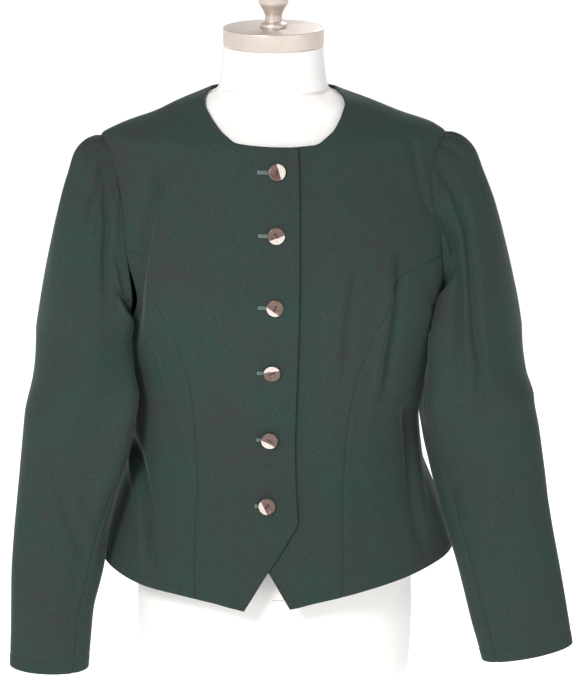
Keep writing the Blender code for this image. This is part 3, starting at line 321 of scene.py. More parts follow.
# The sleeves' creases: paths of degrees round the sleeve and shares down it, with depth and half
# widths in degrees towards lower and higher degrees. A ridge has a negative depth
Pleat = namedtuple("Pleat", "depth low high path")
SLEEVE_CREASES = {
    "right": (
        Pleat(0.0021, 4, 4, ((18, 0.0), (22, 0.04), (18, 0.075))),
        Pleat(0.0044, 5, 4, ((38, 0.0), (46, 0.045), (50, 0.10), (54, 0.16))),
        Pleat(0.0047, 6, 7, ((50, 0.0), (54, 0.03), (66, 0.055), (78, 0.08), (84, 0.13), (88, 0.22))),
        Pleat(-0.0021, 5, 5, ((40, 0.035), (44, 0.06), (54, 0.085), (60, 0.125), (64, 0.18))),
        Pleat(-0.0016, 5, 5, ((56, 0.0), (68, 0.015), (82, 0.03), (92, 0.06))),
        Pleat(-0.0029, 8, 9, ((121, 0.31), (120, 0.37), (118, 0.46), (116, 0.555), (118, 0.635),
                              (118, 0.705), (116, 0.80))),
        Pleat(-0.0090, 18, 18, ((118, 0.08), (122, 0.46), (126, 0.84))),
        Pleat(-0.0020, 14, 14, ((134, 0.46), (137, 0.55), (138, 0.64))),
        Pleat(-0.0075, 20, 20, ((124, 0.36), (128, 0.59), (132, 0.82))),
        Pleat(-0.0052, 16, 16, ((112, 0.04), (116, 0.16), (120, 0.34))),
        Pleat(0.0034, 42, 42, ((5, 0.06), (-5, 0.46))),
        Pleat(0.0039, 14, 10, ((126, 0.56), (118, 0.77), (112, 0.98))),
        Pleat(0.0036, 7, 8, ((66, 0.57), (74, 0.61), (90, 0.66), (110, 0.72), (124, 0.77))),
        Pleat(-0.0018, 8, 7, ((84, 0.60), (100, 0.645), (120, 0.70), (134, 0.75))),
        Pleat(0.0018, 9, 9, ((48, 0.30), (56, 0.42), (62, 0.54))),
        Pleat(0.0016, 8, 10, ((70, 0.76), (80, 0.84), (84, 0.93))),
        Pleat(0.0065, 12, 10, ((-34, 0.0), (-48, 0.20), (-62, 0.38), (-72, 0.55))),
        Pleat(0.0052, 11, 12, ((-84, 0.04), (-100, 0.22), (-112, 0.36), (-122, 0.52))),
        Pleat(-0.0018, 9, 9, ((-60, 0.05), (-74, 0.25), (-88, 0.42))),
        Pleat(0.0031, 9, 8, ((-130, 0.56), (-112, 0.62), (-92, 0.67), (-70, 0.71))),
        Pleat(0.0023, 8, 9, ((-118, 0.64), (-96, 0.70), (-78, 0.76))),
        Pleat(0.0016, 9, 9, ((-20, 0.62), (-28, 0.75), (-24, 0.90))),
    ),
    "left": (
        Pleat(0.0068, 6, 8, ((46, 0.0), (50, 0.045), (56, 0.085), (58, 0.125), (62, 0.18), (62, 0.31),
                             (76, 0.445), (92, 0.555), (98, 0.62))),
        Pleat(0.0057, 7, 6, ((82, 0.0), (86, 0.02), (94, 0.065), (88, 0.17), (86, 0.265), (98, 0.40),
                             (104, 0.48))),
        Pleat(-0.0018, 6, 7, ((92, 0.0), (96, 0.025), (114, 0.08), (106, 0.17), (100, 0.265),
                              (104, 0.405), (108, 0.46))),
        Pleat(-0.0021, 7, 6, ((34, 0.08), (40, 0.115), (46, 0.19), (48, 0.265), (60, 0.38), (72, 0.47),
                              (80, 0.53))),
        Pleat(0.0023, 4, 4, ((26, 0.0), (28, 0.04), (26, 0.09))),
        Pleat(0.0016, 4, 4, ((8, 0.0), (10, 0.05))),
        Pleat(0.0031, 9, 8, ((132, 0.60), (131, 0.64), (130, 0.66), (124, 0.695), (112, 0.73))),
        Pleat(0.0013, 4, 4, ((116, 0.40), (114, 0.49), (118, 0.59), (120, 0.64))),
        Pleat(0.0026, 9, 9, ((60, 0.62), (72, 0.68), (92, 0.74))),
        Pleat(-0.0016, 8, 8, ((66, 0.60), (84, 0.66), (104, 0.71))),
        Pleat(0.0016, 9, 9, ((96, 0.78), (92, 0.86), (96, 0.95))),
        Pleat(-0.0028, 16, 16, ((128, 0.26), (140, 0.36), (150, 0.46))),
        Pleat(-0.0026, 14, 14, ((142, 0.30), (155, 0.39), (166, 0.48))),
        Pleat(-0.0125, 18, 18, ((116, 0.10), (120, 0.36), (124, 0.62))),
        Pleat(0.0036, 42, 42, ((5, 0.06), (-5, 0.46))),
        Pleat(0.0062, 11, 12, ((-38, 0.0), (-54, 0.22), (-68, 0.42), (-80, 0.60))),
        Pleat(0.0049, 12, 10, ((-80, 0.04), (-100, 0.22), (-114, 0.38), (-125, 0.52))),
        Pleat(-0.0018, 9, 9, ((-58, 0.06), (-78, 0.28), (-94, 0.46))),
        Pleat(0.0029, 8, 9, ((-134, 0.58), (-114, 0.63), (-94, 0.68), (-74, 0.72))),
        Pleat(0.0021, 9, 8, ((-112, 0.66), (-90, 0.72), (-66, 0.77))),
        Pleat(0.0016, 9, 9, ((-30, 0.66), (-22, 0.78), (-28, 0.92))),
    ),
}
# The gathers of each sleeve's head: degrees, depth, how far down they run
Gather = namedtuple("Gather", "place depth down")
GATHERS = {
    "right": (
        Gather(-62, 0.0010, 0.050), Gather(-47, 0.0014, 0.075), Gather(-24, 0.0012, 0.055),
        Gather(-11, 0.0016, 0.085), Gather(4, 0.0010, 0.045), Gather(30, 0.0012, 0.060),
        Gather(68, 0.0009, 0.040),
    ),
    "left": (
        Gather(-66, 0.0011, 0.060), Gather(-50, 0.0013, 0.070), Gather(-21, 0.0015, 0.080),
        Gather(-6, 0.0011, 0.050), Gather(17, 0.0013, 0.065), Gather(36, 0.0014, 0.080),
        Gather(66, 0.0012, 0.050),
    ),
}
GATHER_HALF = 3.6
SLEEVE_TOP_RISE, SLEEVE_RISE, SLEEVE_FADE = 0.04, 0.12, 0.5
SLEEVE_METRES_PER_DEGREE, SLEEVE_LENGTH = 0.00092, 0.62

Ripple = namedtuple("Ripple", "size height shift")
RIPPLES = (Ripple(0.060, 0.00055, 3.7), Ripple(0.024, 0.00022, 11.3))

# What shows of each piece of cloth laid flat: its width, length and area, and how it is held
Cut = namedtuple("Cut", "width length area held rests_on")

Place = namedtuple("Place", "x z")
BUTTONS = (
    Place(0.0042, 1.2447), Place(0.0037, 1.1805), Place(0.0022, 1.1047),
    Place(-0.0012, 1.0293), Place(-0.0043, 0.9485), Place(-0.0070, 0.8733),
)
# Each button's holes and polished facet, whose pale colour is a painted highlight, in degrees from +X seen
# from the front, how near its middle the facet starts as a share of the radius, and how far its buttonhole
# shows beside it
Look = namedtuple("Look", "holes pale near buttonhole")
BUTTON_LOOKS = (
    Look(75, 15, 0.22, 0.0105), Look(-48, -72, 0.26, 0.0090), Look(62, 232, 0.42, 0.0080),
    Look(20, 97, 0.34, 0.0062), Look(-30, 240, 0.34, 0.0040), Look(48, 205, 0.38, 0.0036),
)

# Turned profiles, from the top down, as radius and height
Turned = namedtuple("Turned", "radius z")
FINIAL = (
    Turned(0.0000, 1.4380), Turned(0.0065, 1.4368), Turned(0.0122, 1.4325), Turned(0.0160, 1.4255),
    Turned(0.0170, 1.4185), Turned(0.0160, 1.4115), Turned(0.0115, 1.4040), Turned(0.0092, 1.3970),
    Turned(0.0092, 1.3925), Turned(0.0140, 1.3890), Turned(0.0145, 1.3875), Turned(0.0145, 1.3853),
    Turned(0.0000, 1.3853),
)
BASE = (
    Turned(0.0000, 0.0300), Turned(0.0200, 0.0300), Turned(0.0230, 0.0270), Turned(0.0300, 0.0215),
    Turned(0.1700, 0.0130), Turned(0.1785, 0.0100), Turned(0.1800, 0.0080), Turned(0.1800, 0.0000),
    Turned(0.0000, 0.0000),
)
# The form's seams: degrees from the front's middle at the hip
FORM_SEAMS = (-165.0, -90.0, -14.6, 14.6, 90.0, 165.0)

# Floor, lamps and camera
FLOOR_SIZE, FLOOR_GAP = 40.0, 0.0005
HORIZON_TOP = 0.2
CAMERA_PLACE, CAMERA_TILT = (0.018, -2.608, 1.8035), 16.5
CAMERA_ANGLE = 2 * math.atan(290 / 2407.08)
Lamp = namedtuple("Lamp", "name place aim size power")
LAMPS = (
    Lamp("key_lamp", (-1.2, -2.4, 2.8), (0.0, 0.0, 1.0), 0.8, 1.0),
    Lamp("fill_lamp", (2.2, -2.4, 2.0), (0.0, 0.0, 1.0), 2.4, 0.25),
    Lamp("back_lamp", (0.9, 2.8, 2.7), (0.0, 0.0, 1.0), 1.6, 0.55),
)


def column(rows, name):
    return np.array([getattr(row, name) for row in rows], float)


def curve_through(knots, values, at):
    """Values of a smooth curve through every knot that doesn't swing past them."""
    knots, values = np.asarray(knots, float), np.asarray(values, float)
    steps = np.diff(knots)
    rise = np.diff(values) / steps
    product = rise[:-1] * rise[1:]
    total = np.where(product > 0, rise[:-1] + rise[1:], 1.0)
    slope = np.concatenate(([rise[0]], np.where(product > 0, 2 * product / total, 0.0), [rise[-1]]))
    at = np.clip(at, knots[0], knots[-1])
    i = np.clip(np.searchsorted(knots, at, "right") - 1, 0, len(steps) - 1)
    t = (at - knots[i]) / steps[i]
    start = values[i] * (1 + 2 * t) * (1 - t) ** 2 + slope[i] * steps[i] * t * (1 - t) ** 2
    end = values[i + 1] * t * t * (3 - 2 * t) - slope[i + 1] * steps[i] * t * t * (1 - t)
    return start + end


def path_places(points, shares):
    """Points at shares of the length of a smooth path through the points given."""
    points = np.asarray(points, float)
    run = np.concatenate(([0.0], np.cumsum(np.linalg.norm(np.diff(points, axis=0), axis=1))))
    at = np.asarray(shares) * run[-1]
    return np.stack([curve_through(run, points[:, i], at) for i in range(points.shape[1])], axis=-1)


def ease(t):
    t = np.clip(t, 0.0, 1.0)
    return t * t * (3 - 2 * t)


def ring_sizes(sections, turn, z):
    """Half width, half depth and squareness of the ring at a height, on the angle's side."""
    heights = column(sections, "z")
    size = {name: curve_through(heights, column(sections, name), z) for name in Section._fields[1:]}
    width = np.where(np.sin(np.radians(turn)) > 0, size["left"], size["right"])
    depth = np.where(np.cos(np.radians(turn)) > 0, size["front"], size["back"])
    return width, depth, size["square"]


def ring_point(sections, turn, z):
    """The point at an angle from the front's middle, towards +X, on the ring at a height."""
    width, depth, square = ring_sizes(sections, turn, z)
    across, along = np.sin(np.radians(turn)), np.cos(np.radians(turn))
    reach = (np.abs(across) ** square + np.abs(along) ** square) ** (-1 / square)
    return np.stack([width * across * reach, -depth * along * reach, z + 0 * reach], axis=-1)


def turn_at(x, z):
    """The angle on the jacket's front where a place at x and z is seen from the front."""
    width, _, square = ring_sizes(JACKET, np.where(np.asarray(x) > 0, 45.0, -45.0), z)
    part = np.clip(np.abs(x) / width, 0.0, 1.0)
    return np.sign(x) * np.degrees(np.arctan2(part, (1 - part**square) ** (1 / square)))


def bare_point(turn, z):
    return ring_point(JACKET, turn, z)


def plain_point(turn, z, layer):
    """The jacket's outer face before its troughs, with the lapped fronts parted by half a wall each."""
    point = ring_point(JACKET, turn, z)
    lift = layer * (WALL + LAP_GAP) / 2 * ease((LAP_END - np.abs(point[..., 0])) / (LAP_END - LAP_FLAT))
    return point + normal_of(bare_point, turn, z) * lift[..., None]


def normal_of(surface, turn, z):
    """The outward direction of a surface of angle and height."""
    small_turn, small_z = 0.4, 0.0008
    round_it = surface(turn + small_turn, z) - surface(turn - small_turn, z)
    up_it = surface(turn, z + small_z) - surface(turn, z - small_z)
    normal = np.cross(round_it, up_it)
    return normal / np.linalg.norm(normal, axis=-1, keepdims=True)


def stops(length, low, high, step):
    """Shares of a length from 0 to 1 that crowd near its two ends as the lists say."""
    low, high = np.asarray(low) / length, 1 - np.asarray(high)[::-1] / length
    count = max(2, round((high[0] - low[-1]) * length / step))
    return np.concatenate([low, np.linspace(low[-1], high[0], count + 1)[1:-1], high])


def with_marks(places, marks):
    """The places with each mark put in and those that nearly touch it left out."""
    close = 0.3 * np.median(np.diff(places))
    kept = [place for place in places if all(abs(place - mark) > close for mark in marks)]
    return np.unique(np.concatenate([kept, marks, places[[0, -1]]]))


def crease_depth(x, y, z):
    """How far the body's creases press in at points of its surface, ridges counting against them."""
    total, z = np.zeros_like(x), z + np.zeros_like(x)
    for crease in BODY_CREASES:
        path = np.array(crease.path)[::-1]
        inside = (z > path[0, 1]) & (z < path[-1, 1]) & ((y < 0) == (crease.face == "front"))
        if not inside.any():
            continue
        px, pz = x[inside], z[inside]
        middle = curve_through(path[:, 1], path[:, 0], pz)
        slope = (curve_through(path[:, 1], path[:, 0], pz + 0.002) - middle) / 0.002
        apart = (px - middle) / np.sqrt(1 + slope**2)
        part = (path[-1, 1] - pz) / (path[-1, 1] - path[0, 1])
        swell = ease(part / CREASE_RISE) * ease((1 - part) / CREASE_FADE)
        half = np.where(apart < 0, crease.right, crease.left)
        trough = crease.depth * np.exp(-((apart / half) ** 2))
        right = crease.right_ridge * bell(apart + RIDGE_AT * crease.right, RIDGE_HALF * crease.right)
        left = crease.left_ridge * bell(apart - RIDGE_AT * crease.left, RIDGE_HALF * crease.left)
        total[inside] += swell * (trough - right - left)
    return total


def bell(apart, half):
    return np.exp(-((apart / half) ** 2))


def ripple(points):
    """The cloth's slight unevenness at points in space."""
    flat = points.reshape(-1, 3)
    total = np.zeros(len(flat))
    for wave in RIPPLES:
        shift = Vector((wave.shift, -wave.shift, wave.shift / 2))
        total += [wave.height * noise.noise(Vector(point) / wave.size + shift) for point in flat.tolist()]
    return total.reshape(points.shape[:-1])


def cloth_point(turn, z, layer=0):
    """A point of the jacket's outer face, creases and all."""
    point = plain_point(turn, z, layer)
    normal = normal_of(lambda t, h: plain_point(t, h, layer), turn, z)
    return point - normal * crease_depth(point[..., 0], point[..., 1], z)[..., None]


def grid_between(start, end, shares):
    """Rows of angle and height from one edge's places to the other's."""
    start, end = np.asarray(start, float)[:, None], np.asarray(end, float)[:, None]
    shares = np.asarray(shares, float)[None, :, None]
    return start * (1 - shares) + end * shares


def patch_between(low, high, start, end, over, up):
    """A grid of angle and height that meets a path on each of its four sides."""
    over, up = over[None, :, None], up[:, None, None]
    low_corners = (1 - over) * low[0] + over * low[-1]
    high_corners = (1 - over) * high[0] + over * high[-1]
    across = (1 - over) * start[:, None] + over * end[:, None]
    rising = (1 - up) * low[None] + up * high[None]
    return across + rising - (1 - up) * low_corners - up * high_corners


def drawn_in(points, sides):
    """The grid with the named sides moved in by half of a seam's gap."""
    points = points.copy()
    views = {
        "start": (points[:, 0], points[:, 1]), "end": (points[:, -1], points[:, -2]),
        "low": (points[0], points[1]), "high": (points[-1], points[-2]),
    }
    for side in sides:
        edge, beside = views[side]
        along = np.gradient(edge, axis=0)
        along /= np.linalg.norm(along, axis=-1, keepdims=True)
        inward = beside - edge
        inward -= along * np.sum(inward * along, axis=-1, keepdims=True)
        edge += inward / np.linalg.norm(inward, axis=-1, keepdims=True) * SEAM_GAP / 2
    return points


def wall_mesh(name, outer, inner):
    """A closed wall between two grids, the outer one's columns running the way that faces it out."""
    rows, columns = outer.shape[:2]
    first_inner = rows * columns

    def at(i, j, back=0):
        return back * first_inner + i * columns + j

    faces = []
    for i in range(rows - 1):
        for j in range(columns - 1):
            faces.append((at(i, j), at(i, j + 1), at(i + 1, j + 1), at(i + 1, j)))
            faces.append((at(i, j, 1), at(i + 1, j, 1), at(i + 1, j + 1, 1), at(i, j + 1, 1)))
    top, end = rows - 1, columns - 1
    for i in range(rows - 1):
        faces.append((at(i, 0), at(i + 1, 0), at(i + 1, 0, 1), at(i, 0, 1)))
        faces.append((at(i, end), at(i, end, 1), at(i + 1, end, 1), at(i + 1, end)))
    for j in range(columns - 1):
        faces.append((at(0, j), at(0, j, 1), at(0, j + 1, 1), at(0, j + 1)))
        faces.append((at(top, j), at(top, j + 1), at(top, j + 1, 1), at(top, j, 1)))
    mesh = bpy.data.meshes.new(name)
    mesh.from_pydata(np.concatenate([outer.reshape(-1, 3), inner.reshape(-1, 3)]).tolist(), [], faces)
    return mesh


def hem_z(turn):
    right, left = (curve_through(column(HEM, "turn"), column(HEM, side), np.abs(turn)) for side in SIGN)
    return np.where(np.asarray(turn) < 0, right, left)


def on_front(points):
    """Angle and height of places given as seen from the front."""
    points = np.asarray(points, float)
    return np.stack([turn_at(points[:, 0], points[:, 1]), points[:, 1]], axis=-1)


def armhole_place(side, place):
    """Angle and height on the armhole: 0 at its top, 90 in front, 180 at the armpit, 270 behind."""
    hole = ARMHOLES[side]
    place = np.asarray(place, float)
    z = (hole.top_z + hole.low_z) / 2 + (hole.top_z - hole.low_z) / 2 * np.cos(np.radians(place))
    in_front = curve_through(ARMHOLE_PLACES, hole.front, place)
    behind = curve_through(ARMHOLE_PLACES, hole.back, 360 - place)
    spread = np.where(place <= 180, in_front, behind) * np.sin(np.radians(place))
    return np.stack([SIGN[side] * (SHOULDER_SEAM - spread), z], axis=-1)


def distance_to(points, line):
    """How far points are from a line of points."""
    flat = points.reshape(-1, 3)
    best = np.full(len(flat), np.inf)
    for start, end in zip(line, line[1:]):
        along = end - start
        part = np.clip((flat - start) @ along / max(along @ along, 1e-12), 0, 1)
        away = flat - start - part[:, None] * along
        best = np.minimum(best, np.einsum("ij,ij->i", away, away))
    return np.sqrt(best).reshape(points.shape[:-1])


def edge_shapes(points, edges, settings):
    """How far the outer and the inner face move in from where they are, near each kind of edge."""
    sink, close = np.zeros(points.shape[:-1]), np.zeros(points.shape[:-1])
    raised = np.zeros_like(sink)
    for kind, width, line in edges:
        away = distance_to(points, line)
        if kind in SEAM_SHARES:
            near = np.clip(1 - away / SEAM_REACH, 0, 1)
            sink += settings.seam_depth * SEAM_SHARES[kind] * near**2
            sink -= SEAM_RIDGE * bell(away - SEAM_RIDGE_AT, SEAM_RIDGE_HALF)
            continue
        near = np.clip(1 - away / EDGE_ROUND, 0, 1)
        close = np.maximum(close, EDGE_ROUND * (1 - np.sqrt(1 - near**2)))
        if width:
            raised = np.maximum(raised, TURN_RISE * (1 - ease((away - width) / GROOVE_HALF + 0.5)))
        if kind == "hem":
            sink += settings.stitch_depth * bell(away - width, GROOVE_HALF)
    return sink + close - raised, close


def new_object(name, mesh, materials):
    for material in materials:
        mesh.materials.append(material)
    mesh.shade_smooth()
    obj = bpy.data.objects.new(name, mesh)
    bpy.context.scene.collection.objects.link(obj)
    return obj


def settle(obj, node):
    """The object stands for a node of the frame, if one is named, and moves with its body."""
    if node:
        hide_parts(node)
    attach(obj, "root")
    return obj


def add_cloth(node, points, normals, edges, sides):
    """One cut piece of wool: a closed wall whose edges are turned, rounded or drawn into their seams."""
    settings = bpy.context.scene.hunting_jacket
    uneven = ripple(points)
    sink, close = edge_shapes(points, edges, settings)
    outer = points + normals * (uneven - sink)[..., None]
    inner = points + normals * (uneven - WALL + close)[..., None]
    mesh = wall_mesh(f"wool_{node}", drawn_in(outer, sides), drawn_in(inner, sides))
    obj = new_object(f"wool_{node}", mesh, [wool_material()])
    mesh.set_sharp_from_angle(angle=math.radians(50))
    settle(obj, node)
    return obj


def add_panel(node, grid, edges, sides, layer=0):
    """A piece of the body from its grid of angle and height; each edge is named by its side of the grid."""
    turn, z = grid[..., 0], grid[..., 1]
    points = cloth_point(turn, z, layer)
    normals = normal_of(lambda t, h: cloth_point(t, h, layer), turn, z)
    lines = {"start": points[:, 0], "end": points[:, -1], "low": points[0], "high": points[-1]}
    shaped = []
    for side, kind, width, first, last in edges:
        line = lines[side]
        low, high = round(first * (len(line) - 1)), round(last * (len(line) - 1))
        shaped.append((kind, width, line[low : high + 1]))
    return add_cloth(node, points, normals, shaped, sides)


def scaled_path(points, shares):
    """Places on a path of angle and height, at shares of its length on the body."""
    scale = np.array([DEGREE_LENGTH, 1.0])
    return path_places(np.asarray(points) * scale, shares) / scale


def part_of(rows, first, last):
    """Shares between two rows of the rows that lie there."""
    inside = rows[(rows >= first) & (rows <= last)]
    return (inside - first) / (last - first)


def front_seam(side, shares):
    """The front princess seam from the hem to the armhole, as angle and height."""
    points = {"right": RIGHT_PRINCESS, "left": LEFT_PRINCESS}[side]
    seam = on_front([(point.x, point.z) for point in points])
    junction = armhole_place(side, ARMHOLES[side].front_junction)
    seam[0, 1] = hem_z(seam[0, 0])
    return scaled_path(np.vstack([seam, junction]), shares)


def back_seam(side, shares):
    """The back princess seam from the hem to the armhole, as angle and height."""
    x, z = column(BACK_PRINCESS, "x"), column(BACK_PRINCESS, "z")
    seam = np.stack([SIGN[side] * (BACK_MIDDLE - turn_at(SIGN[side] * x, z) * SIGN[side]), z], axis=-1)
    seam[0, 1] = hem_z(seam[0, 0])
    junction = armhole_place(side, ARMHOLES[side].back_junction)
    return scaled_path(np.vstack([seam, junction]), shares)


def front_edge(side, rows):
    """The free edge of a front and its neckline: one place for each row."""
    points = {"right": RIGHT_EDGE, "left": LEFT_EDGE}[side]
    edge = on_front(points)
    low = scaled_path(edge[:3], part_of(rows, 0, CORNER_ROW))
    high = scaled_path(edge[2:], part_of(rows, CORNER_ROW, NECK_ROW))
    places = [(SIGN[side] * getattr(row, side), row.z) for row in NECKLINE]
    places = [place for place in places if SIGN[side] * place[0] > 0.5 * abs(points[-1].x)]
    neck = on_front([(points[-1].x, NECKLINE[0].z), *places])
    neck = np.vstack([neck, (SIGN[side] * SHOULDER_SEAM, NECK_POINT_Z)])
    neck = scaled_path(neck, part_of(rows, NECK_ROW, LAST_ROW))
    neck[0] = high[-1]
    return np.vstack([low[:-1], high[:-1], neck])


def side_seam(side, shares):
    """The side seam from the hem to the armpit."""
    turn = SIGN[side] * SHOULDER_SEAM
    low_z, high_z = float(hem_z(turn)), ARMHOLES[side].low_z
    return np.stack([np.full(len(shares), turn), low_z + (high_z - low_z) * shares], axis=-1)


def hem_between(first, last, shares):
    turn = first + (last - first) * shares
    return np.stack([turn, hem_z(np.where(turn > 180, turn - 360, turn))], axis=-1)


def add_front(side):
    """A front: its edge and neckline on one side, its princess seam and armhole on the other."""
    hole = ARMHOLES[side]
    shares = stops(0.125, EDGE_STOPS, EDGE_STOPS, STEP_ACROSS)
    rows = stops(0.64, HEM_STOPS, EDGE_STOPS, STEP_DOWN) * LAST_ROW
    rows = with_marks(rows, [CORNER_ROW, ARMHOLE_ROW, NECK_ROW])
    places = hole.front_junction * (1 - part_of(rows, ARMHOLE_ROW, LAST_ROW))
    seam = front_seam(side, part_of(rows, 0, ARMHOLE_ROW))
    outer_edge = np.vstack([seam[:-1], armhole_place(side, places)])
    grid = grid_between(front_edge(side, rows), outer_edge, shares)
    fade = np.clip(1 - rows / ARMHOLE_ROW, 0, 1)[:, None] ** 3
    hem = grid[0, :, 1] + (hem_z(grid[0, :, 0]) - grid[0, :, 1]) * ease(shares / HEM_BLEND)
    grid[..., 1] += fade * (hem - grid[0, :, 1])[None]
    neck = np.searchsorted(rows, NECK_ROW) / (len(rows) - 1)
    free, sewn = ("end", "start") if side == "right" else ("start", "end")
    edges = (
        ("low", "hem", HEM_WIDTH, 0, 1), (free, "band", FRONT_BAND, 0, neck),
        (free, "band", 0.0, neck, 1), (sewn, "seam", 0, 0, 1), ("high", "seam", 0, 0, 1),
    )
    grid = grid[:, ::-1] if side == "right" else grid
    return add_panel(f"front_{side}", grid, edges, (sewn, "high"), 1 if side == "right" else -1)


def add_side(side, face):
    """A side front or a side back, from its princess seam to the side seam."""
    hole = ARMHOLES[side]
    over = stops(0.155, EDGE_STOPS, EDGE_STOPS, STEP_ACROSS)
    up = stops(0.32, HEM_STOPS, EDGE_STOPS, STEP_DOWN)
    if face == "front":
        start, end = front_seam(side, up), side_seam(side, up)
        arc = armhole_place(side, hole.front_junction + (180 - hole.front_junction) * over)
    else:
        start, end = side_seam(side, up), back_seam(side, up)
        arc = armhole_place(side, 180 + (hole.back_junction - 180) * over)
    hem = hem_between(start[0, 0], end[0, 0], over)
    grid = patch_between(hem, arc, start, end, over, up)
    grid = grid if side == "left" else grid[:, ::-1]
    edges = (
        ("low", "hem", HEM_WIDTH, 0, 1), ("start", "seam", 0, 0, 1), ("end", "seam", 0, 0, 1),
        ("high", "seam", 0, 0, 1),
    )
    return add_panel(f"side_{face}_{side}", grid, edges, ("start", "end", "high"))


def back_top(over):
    """The back's top edge: left shoulder seam, neckline and right shoulder seam, as angle and height."""
    across = 2 * BACK_SHOULDER_COLUMNS + BACK_NECK_COLUMNS
    left = BACK_SHOULDER_COLUMNS / across
    part = np.clip((over - left) / (1 - 2 * left), 0, 1)
    turn = SHOULDER_SEAM + (360 - 2 * SHOULDER_SEAM) * part
    dip = np.sin(math.pi * part) ** 0.5
    z = NECK_POINT_Z - (NECK_POINT_Z - BACK_NECK_Z) * dip
    rise = np.clip(over / left, 0, 1), np.clip((1 - over) / left, 0, 1)
    z = np.where(over < left, ARMHOLES["left"].top_z * (1 - rise[0]) + NECK_POINT_Z * rise[0], z)
    z = np.where(over > 1 - left, ARMHOLES["right"].top_z * (1 - rise[1]) + NECK_POINT_Z * rise[1], z)
    return np.stack([turn, z], axis=-1)


def add_back():
    """The back in one piece, from the left princess seam and armhole to the right ones."""
    left = BACK_SHOULDER_COLUMNS / (2 * BACK_SHOULDER_COLUMNS + BACK_NECK_COLUMNS)
    over = stops(0.33, EDGE_STOPS, EDGE_STOPS, STEP_ACROSS)
    corner = left + np.array([-0.006, -0.003, 0.0, 0.002, 0.005, 0.009])
    over = with_marks(over, np.concatenate([corner, 1 - corner[::-1]]))
    rows = stops(0.62, HEM_STOPS, EDGE_STOPS, STEP_DOWN) * LAST_ROW
    rows = with_marks(rows, [ARMHOLE_ROW])
    edges = {}
    for side in SIGN:
        junction = ARMHOLES[side].back_junction
        arc = armhole_place(side, junction + (360 - junction) * part_of(rows, ARMHOLE_ROW, LAST_ROW))
        edges[side] = np.vstack([back_seam(side, part_of(rows, 0, ARMHOLE_ROW))[:-1], arc])
    right = edges["right"] + np.array([360.0, 0.0])
    hem = hem_between(edges["left"][0, 0], right[0, 0], over)
    grid = patch_between(hem, back_top(over), edges["left"], right, over, rows / LAST_ROW)
    turn = np.where(grid[..., 0] > 180, grid[..., 0] - 360, grid[..., 0])
    first, last = (np.searchsorted(over, place) / (len(over) - 1) for place in (left, 1 - left))
    shapes = (
        ("low", "hem", HEM_WIDTH, 0, 1), ("start", "seam", 0, 0, 1), ("end", "seam", 0, 0, 1),
        ("high", "seam", 0, 0, first), ("high", "seam", 0, last, 1), ("high", "band", 0.0, first, last),
    )
    return add_panel("back", np.stack([turn, grid[..., 1]], axis=-1), shapes, ("start", "end"))


def sleeve_ring(side, place, down):
    """A point of a sleeve below the armpit; down runs from 0 at the armpit to 1 at the cuff."""
    rows = SLEEVES[side]
    share = (rows[0].z - column(rows, "z")) / (rows[0].z - rows[-1].z)
    size = {name: curve_through(share, column(rows, name), down) for name in Ring._fields}
    lean, inward = np.radians(size["lean"]), np.radians(size["inward"])
    out, ahead = size["width"] * np.cos(np.radians(place)), size["depth"] * np.sin(np.radians(place))
    x = size["x"] + out * np.cos(lean) * np.cos(inward) - ahead * np.sin(inward)
    y = size["y"] - out * np.cos(lean) * np.sin(inward) - ahead * np.cos(inward)
    return np.stack([SIGN[side] * x, y, size["z"] + out * np.sin(lean)], axis=-1)


def sleeve_head(side, place, down):
    """A point of a sleeve's head; down runs from 0 at the armhole to 1 at the armpit."""
    spot = armhole_place(side, place % 360)
    start = ring_point(JACKET, spot[..., 0], spot[..., 1])
    end = sleeve_ring(side, place, 0 * place)
    top = (1 + np.cos(np.radians(place))) / 2
    outward = HEAD_OUT_LOW + (HEAD_OUT_TOP - HEAD_OUT_LOW) * top
    below = HEAD_DOWN_LOW + (HEAD_DOWN_TOP - HEAD_DOWN_LOW) * top
    leave = np.stack([SIGN[side] * outward, 0 * top, HEAD_RISE_TOP * top], axis=-1)
    arrive = np.stack([SIGN[side] * HEAD_TUCK * top, 0 * top, -below], axis=-1)
    t = down[..., None]
    from_start = start * (1 + 2 * t) * (1 - t) ** 2 + leave * t * (1 - t) ** 2
    return from_start + end * t * t * (3 - 2 * t) - arrive * t * t * (1 - t)


def bare_sleeve(side, place, down):
    """A point of a sleeve before its creases; down runs from 0 at the armhole to 1 at the cuff."""
    head = sleeve_head(side, place, np.clip(down / HEAD_SHARE, 0, 1))
    low = sleeve_ring(side, place, np.clip((down - HEAD_SHARE) / (1 - HEAD_SHARE), 0, 1))
    return np.where((down <= HEAD_SHARE)[..., None], head, low)


def sleeve_depth(side, place, down):
    """How far a sleeve's creases and gathers press in."""
    total = np.zeros_like(place)
    for crease in SLEEVE_CREASES[side]:
        path = np.array(crease.path, float)
        part = (down - path[0, 1]) / (path[-1, 1] - path[0, 1])
        inside = (part > 0) & (part < 1) if path[0, 1] > 0 else (part >= 0) & (part < 1)
        middle = curve_through(path[:, 1], path[:, 0], down)
        drift = (curve_through(path[:, 1], path[:, 0], down + 0.004) - middle) / 0.004
        lean = drift * SLEEVE_METRES_PER_DEGREE / SLEEVE_LENGTH
        apart = ((place - middle + 180) % 360 - 180) / np.sqrt(1 + lean**2)
        rise = SLEEVE_TOP_RISE if path[0, 1] == 0 else SLEEVE_RISE
        swell = ease(part / rise) * ease((1 - part) / SLEEVE_FADE)
        total += inside * crease.depth * swell * bell(apart, np.where(apart < 0, crease.low, crease.high))
    for gather in GATHERS[side]:
        apart = (place - gather.place + 180) % 360 - 180
        total += gather.depth * bell(apart, GATHER_HALF) * ease(down / 0.008) * (1 - ease(down / gather.down))
    return total


